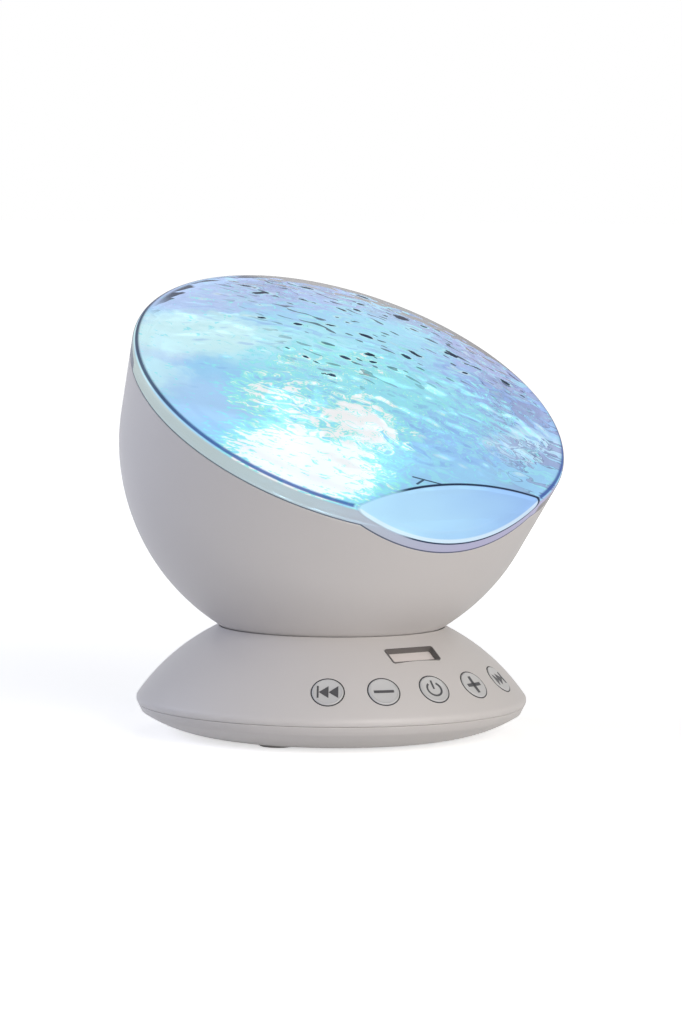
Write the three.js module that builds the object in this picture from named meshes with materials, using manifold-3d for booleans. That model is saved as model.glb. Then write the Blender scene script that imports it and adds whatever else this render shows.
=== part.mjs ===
// A water wave effect light: a ball-shaped lamp head under a clear cover, tilting on a round base with
// five keys. Inside the head a motor slowly turns a rippled clear disc over a ring of LEDs, and the base
// holds a speaker, the circuit board and the sockets.
// Millimetres, +Z up. The front, where the keys are, faces -Y. The origin is on the floor, under the
// middle of the base.
import * as THREE from "three";
import { mergeVertices } from "three/addons/utils/BufferGeometryUtils.js";
import Module from "manifold-3d";

const wasm = await Module();
wasm.setup();

// Driving dimensions: the outer forms, the walls and the clearances
const HEAD_RADIUS = 58; // the ball of the lamp head, outside
const REST_ANGLE = 30.5; // degrees that the head leans towards the front
const LEAST_ANGLE = 20;
const MOST_ANGLE = 45;
const BOWL_WALL = 2.2;
const BASE_RADIUS = 53;
const BASE_WALL = 2.2;
const SLOPE_WIDTH = 22.2; // from the base's widest edge in to the edge of its seat
const SEAT_LOW = 20.2; // height of the seat's lowest point
const FOOT_PROUD = 0.6; // the rubber feet lift the base plate by this much
const RUNNING_GAP = 0.3; // between a piece that moves, or drops in, and its neighbour
const SADDLE_GAP = 0.5; // between the bowl's inside and the saddle that it slides on
const SEAT_GAP = 0.1; // between flat faces that are screwed or glued together
const OVERRUN = 5; // how far a cutting shape passes the surface it cuts
const MERGE_DISTANCE = 0.0001; // corners closer than this are one
const TIDY_DISTANCE = 0.004; // what the joins leave within this of a plane or corner is tidied away

// Facets round a full turn
const FINE_SIDES = 32;
const PART_SIDES = 16;
const KEY_SIDES = 16;
const SMALL_SIDES = 6;
const TINY_SIDES = 4;
const FULL_TURN = 360;
const HALF_TURN = 180;
const QUARTER_TURN = 90;
const ARC_SAG = 0.2; // how far a profile's facets may cut inside its arc

// The ball's seat in the base, and the ball's centre, which the head tilts about
const seatRadius = HEAD_RADIUS + RUNNING_GAP;
const pivotHeight = SEAT_LOW + seatRadius;
const neckRadius = BASE_RADIUS - SLOPE_WIDTH; // the edge of the seat, where the head shows above it

const rad = THREE.MathUtils.degToRad;
const deg = THREE.MathUtils.radToDeg;

// Solids

function solidOf(geometry) {
  const bare = geometry.clone();
  bare.deleteAttribute("normal");
  bare.deleteAttribute("uv");
  const merged = mergeVertices(bare, MERGE_DISTANCE);
  const index = merged.index.array;
  const triangles = [];
  for (let i = 0; i < index.length; i += 3) {
    const [a, b, c] = [index[i], index[i + 1], index[i + 2]];
    if (a !== b && b !== c && c !== a) triangles.push(a, b, c);
  }
  const make = (list) =>
    new wasm.Manifold(
      new wasm.Mesh({
        numProp: 3,
        vertProperties: new Float32Array(merged.attributes.position.array),
        triVerts: new Uint32Array(list),
      }),
    );
  const solid = make(triangles);
  if (solid.volume() >= 0) return solid;
  const turned = [];
  for (let i = 0; i < triangles.length; i += 3) {
    turned.push(triangles[i], triangles[i + 2], triangles[i + 1]);
  }
  return make(turned);
}

function geometryOf(solid) {
  const mesh = solid.getMesh();
  const places = new Float32Array(mesh.numVert * 3);
  for (let i = 0; i < mesh.numVert; i++) {
    places.set(mesh.vertProperties.subarray(i * mesh.numProp, i * mesh.numProp + 3), i * 3);
  }
  const geometry = new THREE.BufferGeometry();
  geometry.setAttribute("position", new THREE.BufferAttribute(places, 3));
  geometry.setIndex(new THREE.BufferAttribute(new Uint32Array(mesh.triVerts), 1));
  const flat = geometry.toNonIndexed();
  flat.computeVertexNormals();
  return flat;
}

// A closed profile of [radius, height] points, revolved about the Z axis.
function revolved(profile, sides = FINE_SIDES) {
  const points = profile.map(([r, z]) => new THREE.Vector2(Math.max(r, 0), z));
  const [first, last] = [points[0], points[points.length - 1]];
  const onAxis = first.x === 0 && last.x === 0;
  if (!onAxis) points.push(first.clone());
  return solidOf(new THREE.LatheGeometry(points, sides).rotateX(Math.PI / 2));
}

function rod(radius, low, high, sides = PART_SIDES) {
  const geometry = new THREE.CylinderGeometry(radius, radius, high - low, sides);
  return solidOf(geometry.rotateX(Math.PI / 2).translate(0, 0, (low + high) / 2));
}

function block(width, depth, low, high) {
  return solidOf(new THREE.BoxGeometry(width, depth, high - low).translate(0, 0, (low + high) / 2));
}

// A flat shape of [x, y] points, raised from low to high.
function raised(outline, low, high) {
  const shape = new THREE.Shape(outline.map(([x, y]) => new THREE.Vector2(x, y)));
  const geometry = new THREE.ExtrudeGeometry(shape, { depth: high - low, bevelEnabled: false });
  return solidOf(geometry.translate(0, 0, low));
}

// The same solid, turned about X, Y and Z in degrees and then moved.
function placed(solid, { turn = [0, 0, 0], at = [0, 0, 0] }) {
  const matrix = new THREE.Matrix4().makeRotationFromEuler(new THREE.Euler(...turn.map(rad)));
  matrix.setPosition(...at);
  return solidOf(geometryOf(solid).applyMatrix4(matrix));
}

const joined = (solids) => solids.reduce((whole, next) => whole.add(next));
const cut = (solid, tools) => tools.reduce((left, tool) => left.subtract(tool), solid);

// Points of an arc about a centre in the profile plane, with angles in degrees from the radius axis.
function arc(centre, radius, from, to) {
  const step = 2 * deg(Math.acos(1 - ARC_SAG / radius));
  const steps = Math.max(1, Math.ceil(Math.abs(to - from) / step));
  return Array.from({ length: steps + 1 }, (_, i) => {
    const a = rad(from + ((to - from) * i) / steps);
    return [centre[0] + radius * Math.cos(a), centre[1] + radius * Math.sin(a)];
  });
}

// Where two circles in the profile plane cross, on the right of the line from the first to the second.
function crossing(a, radiusA, b, radiusB) {
  const apart = Math.hypot(b[0] - a[0], b[1] - a[1]);
  const along = (radiusA ** 2 - radiusB ** 2 + apart ** 2) / (2 * apart);
  const aside = Math.sqrt(radiusA ** 2 - along ** 2);
  const u = [(b[0] - a[0]) / apart, (b[1] - a[1]) / apart];
  return [a[0] + u[0] * along + u[1] * aside, a[1] + u[1] * along - u[0] * aside];
}

const angleOf = (centre, point) => deg(Math.atan2(point[1] - centre[1], point[0] - centre[0]));
const onRing = (radius, turn) => [radius * Math.cos(rad(turn)), radius * Math.sin(rad(turn))];

// Places spread evenly round a circle, as turns in degrees.
const spread = (count, first = 0) =>
  Array.from({ length: count }, (_, i) => first + (FULL_TURN * i) / count);

// Finishes

const finish = (colour, roughness, metalness = 0, more = {}) =>
  new THREE.MeshStandardMaterial({ color: colour, roughness, metalness, ...more });
const clear = { transparent: true, opacity: 0.35 };
const FINISHES = {
  housing: finish("#d9d6d4", 0.55),
  clear_cover: finish("#cfe6fb", 0.05, 0, clear),
  ripple_clear: finish("#9fe8ff", 0.08, 0, clear),
  reflector: finish("#eef3f7", 0.3),
  key: finish("#dcdad8", 0.4),
  inner_plastic: finish("#c9c9c6", 0.6),
  board: finish("#2f6b45", 0.5),
  white_board: finish("#eceeea", 0.5),
  led: finish("#e8f6ff", 0.15, 0, clear),
  steel: finish("#b9bcc0", 0.35, 1),
  magnet: finish("#4a4a4d", 0.45, 1),
  black_plastic: finish("#222326", 0.5),
  cone_paper: finish("#2b2a2a", 0.9),
  rubber: finish("#3a3a3a", 0.85),
  window: finish("#e3dedd", 0.3, 0, clear),
  wire: finish("#b3272d", 0.5),
};

const light = new THREE.Group();
const head = new THREE.Group();
head.position.z = pivotHeight;
head.rotation.x = rad(REST_ANGLE);
light.add(head);

function fit(parent, name, solid, finishName) {
  const mesh = new THREE.Mesh(geometryOf(solid.simplify(TIDY_DISTANCE)), FINISHES[finishName]);
  mesh.name = name;
  parent.add(mesh);
}

// The lamp head's outer form, in its own frame: the centre of the ball at the origin, +Z along the
// lamp's axis, and the front, with the scooped facet, towards -Y. The ball runs into a straight flare.
const FLARE_ANGLE = 8; // degrees that the wall leans outwards above the ball
const BOWL_EDGE = 11.3; // height of the bowl's edge, where the clear cover meets it
const COVER_RIM = 16.5; // height of the cover's rim, before its shoulder
const COVER_RISE = 10.2; // the cover's crown above that rim
const SHOULDER_RADIUS = 2;
const COVER_WALL = 2;
const FACET_ANGLE = 47.6; // degrees between the rim and the scooped facet
const FACET_BITE = 8.1; // how far inside the wall the facet crosses the rim's plane
const FACET_EDGE_DEPTH = 2.9; // from the facet to the bowl's edge below it, square to the facet

const wallRadius = (height, inset = 0) =>
  (HEAD_RADIUS - inset) / Math.cos(rad(FLARE_ANGLE)) + height * Math.tan(rad(FLARE_ANGLE));
const facetChord = wallRadius(COVER_RIM) - FACET_BITE;
const crownReach = wallRadius(COVER_RIM, SHOULDER_RADIUS / 2);
const crownRadius = (crownReach ** 2 + COVER_RISE ** 2) / (2 * COVER_RISE);
const crownCentre = COVER_RIM + COVER_RISE - crownRadius;

// The point that lies the same inset inside the flared wall and inside the crown.
function cornerPoint(inset) {
  const radius = crownRadius - inset;
  const slope = Math.tan(rad(FLARE_ANGLE));
  const base = wallRadius(crownCentre, inset);
  const a = 1 + slope ** 2;
  const rise = (-slope * base + Math.sqrt(radius ** 2 * a - base ** 2)) / a;
  return [base + slope * rise, crownCentre + rise];
}

// The ball and flare, filled, up to a height.
function bowlForm(inset, top) {
  const ball = arc([0, 0], HEAD_RADIUS - inset, -QUARTER_TURN, -FLARE_ANGLE);
  ball[0][0] = 0;
  return revolved([...ball, [wallRadius(top, inset), top], [0, top]]);
}

// The flared wall and crown, filled, from a height upwards.
function coverForm(inset, bottom) {
  const shoulder = Math.max(SHOULDER_RADIUS - inset, 0);
  const corner = cornerPoint(Math.max(SHOULDER_RADIUS, inset));
  const crownAngle = angleOf([0, crownCentre], corner);
  const crown = arc([0, crownCentre], crownRadius - inset, crownAngle, QUARTER_TURN);
  crown[crown.length - 1][0] = 0;
  const edge = shoulder > 0 ? arc(corner, shoulder, -FLARE_ANGLE, crownAngle).slice(0, -1) : [];
  return revolved([[0, bottom], [wallRadius(bottom, inset), bottom], ...edge, ...crown]);
}

// Everything in front of the facet's plane, moved into the head by a depth.
function beyondFacet(depth) {
  const size = 4 * HEAD_RADIUS;
  const back = size / 2 - depth;
  const [sine, cosine] = [Math.sin(rad(FACET_ANGLE)), Math.cos(rad(FACET_ANGLE))];
  const at = [0, -facetChord - sine * back, COVER_RIM + cosine * back];
  return placed(block(size, size, -size / 2, size / 2), { turn: [FACET_ANGLE, 0, 0], at });
}

// Everything under the line where bowl and cover meet, moved up by a rise.
function belowJoint(rise) {
  const size = 4 * HEAD_RADIUS;
  const depth = FACET_EDGE_DEPTH - rise * Math.cos(rad(FACET_ANGLE));
  return block(size, size, -size, BOWL_EDGE + rise).subtract(beyondFacet(depth));
}

// The bowl: the lower shell of the lamp head, with a ledge for the reflector, three posts for the
// motor's bracket, and the slot that the base's post comes through.
const LEDGE_WIDTH = 2.4;
const LEDGE_TOP = 1.6;
const LEDGE_DROP = 4;
const POST_RING = 26;
const POST_RADIUS = 3.2;
const POST_TOP = -14.6;
const POST_HOLE = 1.5;
const POST_HOLE_DEPTH = 10;
const STALK_WIDTH = 7; // the base's post, in X and in Y
const SLOT_END_GAP = 0.9;
const postTurns = spread(3, QUARTER_TURN);

const bowlInside = HEAD_RADIUS - BOWL_WALL;
const ledgeRadius = wallRadius(LEDGE_TOP, BOWL_WALL) - LEDGE_WIDTH;
const stalkHalfAngle = deg(Math.asin((STALK_WIDTH / 2 + SLOT_END_GAP) / bowlInside));

function tiltSlot() {
  const from = -QUARTER_TURN - MOST_ANGLE - stalkHalfAngle;
  const to = -QUARTER_TURN - LEAST_ANGLE + stalkHalfAngle;
  const outer = arc([0, 0], HEAD_RADIUS + OVERRUN, from, to);
  const inner = arc([0, 0], bowlInside - OVERRUN, to, from);
  const width = STALK_WIDTH + 2 * RUNNING_GAP;
  const sector = raised([...outer, ...inner], -width / 2, width / 2);
  // drawn in X and Y, it is stood up and turned, so that it curves in Y and Z
  return placed(placed(sector, { turn: [QUARTER_TURN, 0, 0] }), { turn: [0, 0, QUARTER_TURN] });
}

function headBowl() {
  const wall = cut(bowlForm(0, BOWL_EDGE), [
    bowlForm(BOWL_WALL, BOWL_EDGE + OVERRUN),
    beyondFacet(FACET_EDGE_DEPTH),
  ]);
  const buried = BOWL_WALL / 2;
  const ledgeFoot = LEDGE_TOP - LEDGE_DROP;
  const ledge = revolved([
    [wallRadius(ledgeFoot, buried), ledgeFoot],
    [wallRadius(LEDGE_TOP, buried), LEDGE_TOP],
    [ledgeRadius, LEDGE_TOP],
    [ledgeRadius, LEDGE_TOP - BOWL_WALL / 2],
  ]);
  const ball = bowlForm(buried, BOWL_EDGE);
  const posts = postTurns.map((turn) => {
    const [x, y] = onRing(POST_RING, turn);
    return placed(rod(POST_RADIUS, -HEAD_RADIUS, POST_TOP, SMALL_SIDES), { at: [x, y, 0] }).intersect(ball);
  });
  const holes = postTurns.map((turn) => {
    const hole = rod(POST_HOLE, POST_TOP - POST_HOLE_DEPTH, POST_TOP + OVERRUN, SMALL_SIDES);
    return placed(hole, { at: [...onRing(POST_RING, turn), 0] });
  });
  return cut(joined([wall, ledge, ...posts]), [tiltSlot(), ...holes]);
}
fit(head, "head_bowl", headBowl(), "housing");

// The clear cover: a crowned window with a short upright band, a flat scooped facet at the front, and
// a lip that drops inside the bowl's wall.
const FOOT_HEIGHT = 1.4;
const LIP_WALL = 1.2;
const LIP_DROP = 3;

function waveCover() {
  const bottom = -FLARE_ANGLE;
  const lipInset = BOWL_WALL + RUNNING_GAP;
  const outside = coverForm(0, bottom).subtract(beyondFacet(0));
  const hollow = coverForm(COVER_WALL, bottom - OVERRUN).subtract(beyondFacet(COVER_WALL));
  const window = outside.subtract(hollow).subtract(belowJoint(SEAT_GAP));
  const lipCore = coverForm(lipInset + LIP_WALL, bottom - OVERRUN);
  const foot = cut(outside, [lipCore, belowJoint(SEAT_GAP)]).intersect(belowJoint(FOOT_HEIGHT));
  const lipSkin = coverForm(lipInset, bottom).subtract(lipCore);
  const lip = lipSkin.subtract(belowJoint(-LIP_DROP)).intersect(belowJoint(FOOT_HEIGHT));
  return joined([window, foot, lip]);
}
fit(head, "wave_cover", waveCover(), "clear_cover");

// The reflector: a shallow moulded dish between the LEDs and the bowl's ledge.
const REFLECTOR_WALL = 1.2;
const REFLECTOR_FOOT = 23.4;
const REFLECTOR_FOOT_HEIGHT = -10.2;
const REFLECTOR_RIM = 2.7; // how far inside the ledge the dish's mouth is
const REFLECTOR_SAG_RADIUS = 62;

const reflectorMouth = ledgeRadius - REFLECTOR_RIM;

function reflectorCup() {
  const low = [REFLECTOR_FOOT, REFLECTOR_FOOT_HEIGHT];
  const flangeLow = LEDGE_TOP + SEAT_GAP;
  const high = [reflectorMouth, flangeLow];
  const middle = crossing(high, REFLECTOR_SAG_RADIUS, low, REFLECTOR_SAG_RADIUS);
  const under = arc(middle, REFLECTOR_SAG_RADIUS, angleOf(middle, low), angleOf(middle, high));
  const flangeTop = flangeLow + REFLECTOR_WALL;
  const flangeRadius = wallRadius(flangeLow, BOWL_WALL + RUNNING_GAP);
  const over = under.map(([r, z]) => [r, z + REFLECTOR_WALL]).reverse();
  return revolved([...under, [flangeRadius, flangeLow], [flangeRadius, flangeTop], ...over]);
}
fit(head, "reflector_cup", reflectorCup(), "reflector");

// The motor's bracket, on the three posts, with the LED board on top of it.
const BRACKET_RADIUS = 30;
const BRACKET_THICK = 2;
const BRACKET_BORE = 5;
const SCREW_RADIUS = 1.3;
const CLEARANCE_HOLE = 1.7;
const bracketLow = POST_TOP + SEAT_GAP;
const bracketTop = bracketLow + BRACKET_THICK;

function motorBracket() {
  const plate = rod(BRACKET_RADIUS, bracketLow, bracketTop);
  const holes = postTurns.map((turn) => {
    const [x, y] = onRing(POST_RING, turn);
    return placed(rod(CLEARANCE_HOLE, bracketLow - OVERRUN, bracketTop + OVERRUN, SMALL_SIDES), { at: [x, y, 0] });
  });
  const bore = rod(BRACKET_BORE, bracketLow - OVERRUN, bracketTop + OVERRUN);
  return cut(plate, [bore, ...holes]);
}
fit(head, "motor_bracket", motorBracket(), "inner_plastic");

// A pan-head screw pointing down, its head's seat at the given height.
const PAN_HEAD_RADIUS = 2.7;
const PAN_HEAD_HEIGHT = 1.7;
const PAN_HEAD_EDGE = 0.6;
const DRIVE_RADIUS = 1.1;
const DRIVE_DEPTH = 0.9;

function screw(seat, length) {
  const body = revolved(
    [
      [0, seat - length],
      [SCREW_RADIUS, seat - length + SCREW_RADIUS],
      [SCREW_RADIUS, seat],
      [PAN_HEAD_RADIUS, seat],
      [PAN_HEAD_RADIUS, seat + PAN_HEAD_HEIGHT - PAN_HEAD_EDGE],
      [PAN_HEAD_RADIUS - PAN_HEAD_EDGE, seat + PAN_HEAD_HEIGHT],
      [0, seat + PAN_HEAD_HEIGHT],
    ],
    SMALL_SIDES,
  );
  const top = seat + PAN_HEAD_HEIGHT;
  const drive = rod(DRIVE_RADIUS, top - DRIVE_DEPTH, top + OVERRUN, TINY_SIDES);
  return body.subtract(drive);
}

const HEAD_SCREW_LENGTH = 9;
postTurns.forEach((turn, i) => {
  const [x, y] = onRing(POST_RING, turn);
  const solid = placed(screw(bracketTop + SEAT_GAP, HEAD_SCREW_LENGTH), { at: [x, y, 0] });
  fit(head, `bracket_screw_${i + 1}`, solid, "steel");
});

const LED_BOARD_RADIUS = 21.6;
const BOARD_THICK = 1.6;
const boardLow = bracketTop + SEAT_GAP;
const boardTop = boardLow + BOARD_THICK;
const ledBoard = rod(LED_BOARD_RADIUS, boardLow, boardTop).subtract(
  rod(BRACKET_BORE, boardLow - OVERRUN, boardTop + OVERRUN),
);
fit(head, "led_board", ledBoard, "white_board");

// Nine round LEDs on the board, each a collar and a domed lens.
const LED_COUNT = 9;
const LED_RING = 16.5;
const LED_RADIUS = 2.5;
const LED_COLLAR = 2.9;
const LED_COLLAR_HEIGHT = 1;
const LED_HEIGHT = 8.6;
const LED_DOME_ANGLE = 30;

function led() {
  const foot = boardTop + SEAT_GAP;
  const domeCentre = foot + LED_HEIGHT - LED_RADIUS;
  const dome = [0, 1, 2, 3].map((i) => {
    const a = rad(i * LED_DOME_ANGLE);
    return [i === 3 ? 0 : LED_RADIUS * Math.cos(a), domeCentre + LED_RADIUS * Math.sin(a)];
  });
  return revolved(
    [[0, foot], [LED_COLLAR, foot], [LED_COLLAR, foot + LED_COLLAR_HEIGHT],
      [LED_RADIUS, foot + LED_COLLAR_HEIGHT], ...dome],
    SMALL_SIDES,
  );
}
spread(LED_COUNT).forEach((turn, i) => {
  const [x, y] = onRing(LED_RING, turn);
  fit(head, `led_${i + 1}`, placed(led(), { at: [x, y, 0] }), "led");
});

// The geared motor under the bracket, its shaft, and the rippled disc that the shaft turns.
const GEARBOX_RADIUS = 13;
const GEARBOX_HEIGHT = 8;
const GEARBOX_NOSE = 4;
const GEARBOX_NOSE_HEIGHT = 1.6;
const MOTOR_RADIUS = 10;
const MOTOR_HEIGHT = 14;
const MOTOR_END_STEP = 1.2;
const MOTOR_END_BOSS = 3.2;
const SHAFT_RADIUS = 1.5;
const SHAFT_FLAT = 0.5;
const gearboxTop = bracketLow - SEAT_GAP;
const gearboxLow = gearboxTop - GEARBOX_HEIGHT;
const noseTop = gearboxTop + GEARBOX_NOSE_HEIGHT;

const shaftBore = SHAFT_RADIUS + RUNNING_GAP;
const gearboxCase = revolved(
  [
    [0, gearboxLow], [GEARBOX_RADIUS, gearboxLow], [GEARBOX_RADIUS, gearboxTop],
    [GEARBOX_NOSE, gearboxTop], [GEARBOX_NOSE, noseTop], [0, noseTop],
  ],
  PART_SIDES,
).subtract(rod(shaftBore, gearboxTop - GEARBOX_HEIGHT / 2, noseTop + OVERRUN, SMALL_SIDES));
fit(head, "gearbox_case", gearboxCase, "black_plastic");

const motorTop = gearboxLow - SEAT_GAP;
const motorLow = motorTop - MOTOR_HEIGHT;
const driveMotor = revolved(
  [
    [0, motorLow - MOTOR_END_STEP], [MOTOR_END_BOSS, motorLow - MOTOR_END_STEP],
    [MOTOR_END_BOSS, motorLow], [MOTOR_RADIUS, motorLow], [MOTOR_RADIUS, motorTop], [0, motorTop],
  ],
  PART_SIDES,
);
fit(head, "drive_motor", driveMotor, "steel");

const DISC_MARGIN = 5.5; // how far inside the reflector's mouth the disc ends
const DISC_LOW = 6;
const DISC_THICK = 2.2;
const WAVE_HEIGHT = 0.55;
const WAVE_RINGS = 9; // facets from the hub to the rim
const WAVE_SPOKES = 24; // facets round the disc
const WAVE_LENGTH = 13;
const WAVE_TURNS = 6; // how often the waves swing round the disc
const WAVE_SWING_ANGLE = 1.1; // how far they swing, in radians of the wave
const HUB_RADIUS = 6;
const HUB_DROP = 9;
const HUB_CAP = 1.4;

const discRadius = reflectorMouth - DISC_MARGIN;

// A disc whose upper face swells in rings that swing in and out, like ripples on water.
function rippledDisc() {
  const bore = shaftBore;
  const top = (r, turn) => {
    const share = (r - HUB_RADIUS) / (discRadius - HUB_RADIUS);
    const fade = Math.sin(Math.PI * Math.min(Math.max(share, 0), 1));
    const phase = (2 * Math.PI * r) / WAVE_LENGTH + WAVE_SWING_ANGLE * Math.sin(WAVE_TURNS * turn);
    return DISC_LOW + DISC_THICK + WAVE_HEIGHT * fade * Math.sin(phase);
  };
  const radii = [bore];
  for (let i = 0; i <= WAVE_RINGS; i++) {
    radii.push(HUB_RADIUS + ((discRadius - HUB_RADIUS) * i) / WAVE_RINGS);
  }
  const places = [];
  const columns = radii.length + 2;
  for (let j = 0; j < WAVE_SPOKES; j++) {
    const turn = (2 * Math.PI * j) / WAVE_SPOKES;
    const put = (r, z) => places.push(r * Math.cos(turn), r * Math.sin(turn), z);
    radii.forEach((r) => put(r, top(r, turn)));
    put(discRadius, DISC_LOW);
    put(bore, DISC_LOW);
  }
  const faces = [];
  for (let j = 0; j < WAVE_SPOKES; j++) {
    for (let k = 0; k < columns; k++) {
      const a = j * columns + k;
      const b = j * columns + ((k + 1) % columns);
      const c = ((j + 1) % WAVE_SPOKES) * columns + ((k + 1) % columns);
      const d = ((j + 1) % WAVE_SPOKES) * columns + k;
      faces.push(a, b, c, a, c, d);
    }
  }
  const geometry = new THREE.BufferGeometry();
  geometry.setAttribute("position", new THREE.BufferAttribute(new Float32Array(places), 3));
  geometry.setIndex(faces);
  return solidOf(geometry);
}
fit(head, "ripple_disc", rippledDisc(), "ripple_clear");

const hubTop = DISC_LOW - SEAT_GAP;
const hubLow = hubTop - HUB_DROP;
const discHub = rod(HUB_RADIUS, hubLow, hubTop, PART_SIDES).subtract(
  rod(shaftBore, hubLow - OVERRUN, hubTop + OVERRUN, SMALL_SIDES),
);
fit(head, "disc_hub", discHub, "inner_plastic");

const shaftTop = DISC_LOW + DISC_THICK;
const shaftLow = gearboxTop - GEARBOX_HEIGHT / 2 + RUNNING_GAP;
const motorShaft = rod(SHAFT_RADIUS, shaftLow, shaftTop, SMALL_SIDES).subtract(
  placed(block(4 * SHAFT_RADIUS, 2 * SHAFT_RADIUS, hubLow, shaftTop + OVERRUN), {
    at: [0, 2 * SHAFT_RADIUS - SHAFT_FLAT, 0],
  }),
);
fit(head, "motor_shaft", motorShaft, "steel");

const capLow = shaftTop + SEAT_GAP;
const CAP_DOME_SHARE = 0.6;
const discCap = revolved(
  [
    [0, capLow], [HUB_RADIUS, capLow], [HUB_RADIUS, capLow + HUB_CAP * CAP_DOME_SHARE],
    [HUB_RADIUS * CAP_DOME_SHARE, capLow + HUB_CAP], [0, capLow + HUB_CAP],
  ],
  PART_SIDES,
);
fit(head, "disc_cap", discCap, "inner_plastic");

// The motor's lead, from the can up to the bracket.
const LEAD_RADIUS = 0.8;
const LEAD_STEPS = 10;
const LEAD_STUB = 4;
const LEAD_BOW = 6;

function tube(points, radius, steps) {
  const outline = new THREE.Shape();
  outline.absarc(0, 0, radius, 0, 2 * Math.PI);
  const path = new THREE.CatmullRomCurve3(points.map((p) => new THREE.Vector3(...p)));
  const options = { steps, extrudePath: path, curveSegments: TINY_SIDES, bevelEnabled: false };
  return solidOf(new THREE.ExtrudeGeometry(outline, options));
}
const leadFoot = motorTop - MOTOR_HEIGHT / 2;
const motorLead = tube(
  [
    [MOTOR_RADIUS + RUNNING_GAP, 0, leadFoot],
    [MOTOR_RADIUS + LEAD_STUB, 0, leadFoot],
    [GEARBOX_RADIUS + LEAD_BOW, 0, (leadFoot + gearboxTop) / 2],
    [GEARBOX_RADIUS + LEAD_BOW, 0, bracketLow - RUNNING_GAP],
  ],
  LEAD_RADIUS,
  LEAD_STEPS,
);
fit(head, "motor_lead", motorLead, "wire");

// The base cover's outline: a rounded cone from the neck to the widest edge, and a dished seat under
// the ball.
const BASE_ARC_RADIUS = 57;
const EDGE_RADIUS = 2;
const EDGE_HEIGHT = 9.3;
const SEAM_HEIGHT = 8.2;
const SEAT_WALL = 2.5;
const SKIRT_WALL = 2.8;
const skirtInside = BASE_RADIUS - SKIRT_WALL;
const pivot = [0, pivotHeight];

const onSeat = (r, radius) => pivotHeight - Math.sqrt(radius ** 2 - r ** 2);
const neckEdge = [neckRadius, onSeat(neckRadius, seatRadius)];
const edgeCentre = [BASE_RADIUS - EDGE_RADIUS, EDGE_HEIGHT];
const slopeCentre = crossing(neckEdge, BASE_ARC_RADIUS, edgeCentre, BASE_ARC_RADIUS - EDGE_RADIUS);
const slopeHeight = (r, radius = BASE_ARC_RADIUS) =>
  slopeCentre[1] + Math.sqrt(radius ** 2 - (r - slopeCentre[0]) ** 2);
const slopeInside = BASE_ARC_RADIUS - BASE_WALL;

// The post that holds the head: it stands in the seat and passes through the bowl's slot to the saddle.
const SADDLE_RADIUS = 11;
const SADDLE_WALL = 2.4;
const SADDLE_SEAT = 3.4; // radius of the flat under the screw's head
const TILT_SCREW_END_GAP = 0.5; // from the screw's tip to the end of its hole
const STALK_BOSS_RADIUS = 4.6;
const saddleUnder = bowlInside - SADDLE_GAP;
const stalkTop = pivotHeight - saddleUnder - SEAT_GAP;
const SCREW_HOLE = 1.5;

// Five keys along an arc at the front, and the window above the middle one.
const KEY_NAMES = ["previous", "volume_down", "power", "volume_up", "next"];
const KEY_SETBACK = 5.4; // from the base's widest edge to the keys' ring
const KEY_SPACING = 14.8; // along that ring
const KEY_RADIUS = 4.15;
const KEY_PROUD = 0.15;
const KEY_FLANGE = 5.15;
const KEY_FLANGE_THICK = 0.9;
const KEY_STEM_RADIUS = 1.9;
const KEY_TRAVEL = 0.6;
const WINDOW_SETBACK = 7.1; // from the neck to the window's ring
const WINDOW_WIDTH = 15.4;
const WINDOW_HEIGHT = 5.6;
const WINDOW_DEPTH = 1.9; // from the cone down to the window
const keyRing = BASE_RADIUS - KEY_SETBACK;
const keyPitch = deg(KEY_SPACING / keyRing);
const windowRing = neckRadius + WINDOW_SETBACK;

// A solid drawn flat is set on the cone: +Z out of the surface and X along the ring.
function onSlope(solid, ring, turnFromFront) {
  const lift = angleOf(slopeCentre, [ring, slopeHeight(ring)]);
  const tilted = placed(solid, { turn: [QUARTER_TURN - lift, 0, 0], at: [0, -ring, slopeHeight(ring)] });
  return placed(tilted, { turn: [0, 0, turnFromFront] });
}
const keyTurns = KEY_NAMES.map((_, i) => (i - (KEY_NAMES.length - 1) / 2) * keyPitch);

// Four screw posts between the cover and the plate, each over a rubber foot.
const BOSS_SETBACK = 4.9; // from the edge of the plate's flat underside to the screws' ring
const BOSS_RADIUS = 3.2;
const BOSS_HOLE_DEPTH = 9;
const BOSS_ANGLE = 60; // degrees, from the front and from the back
const PLATE_WALL = 2.2;
const PLATE_RISE = 15.1; // width of the plate's rising edge, outside its flat underside
const PLATE_BOSS_TOP = 5;
const plateFlat = BASE_RADIUS - PLATE_RISE;
const bossRing = plateFlat - BOSS_SETBACK;
const bossTurns = [-BOSS_ANGLE, BOSS_ANGLE].flatMap((a) => [a - QUARTER_TURN, a + QUARTER_TURN]);
const bossLow = PLATE_BOSS_TOP + SEAT_GAP;
const plateTop = FOOT_PROUD + PLATE_WALL;

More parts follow.
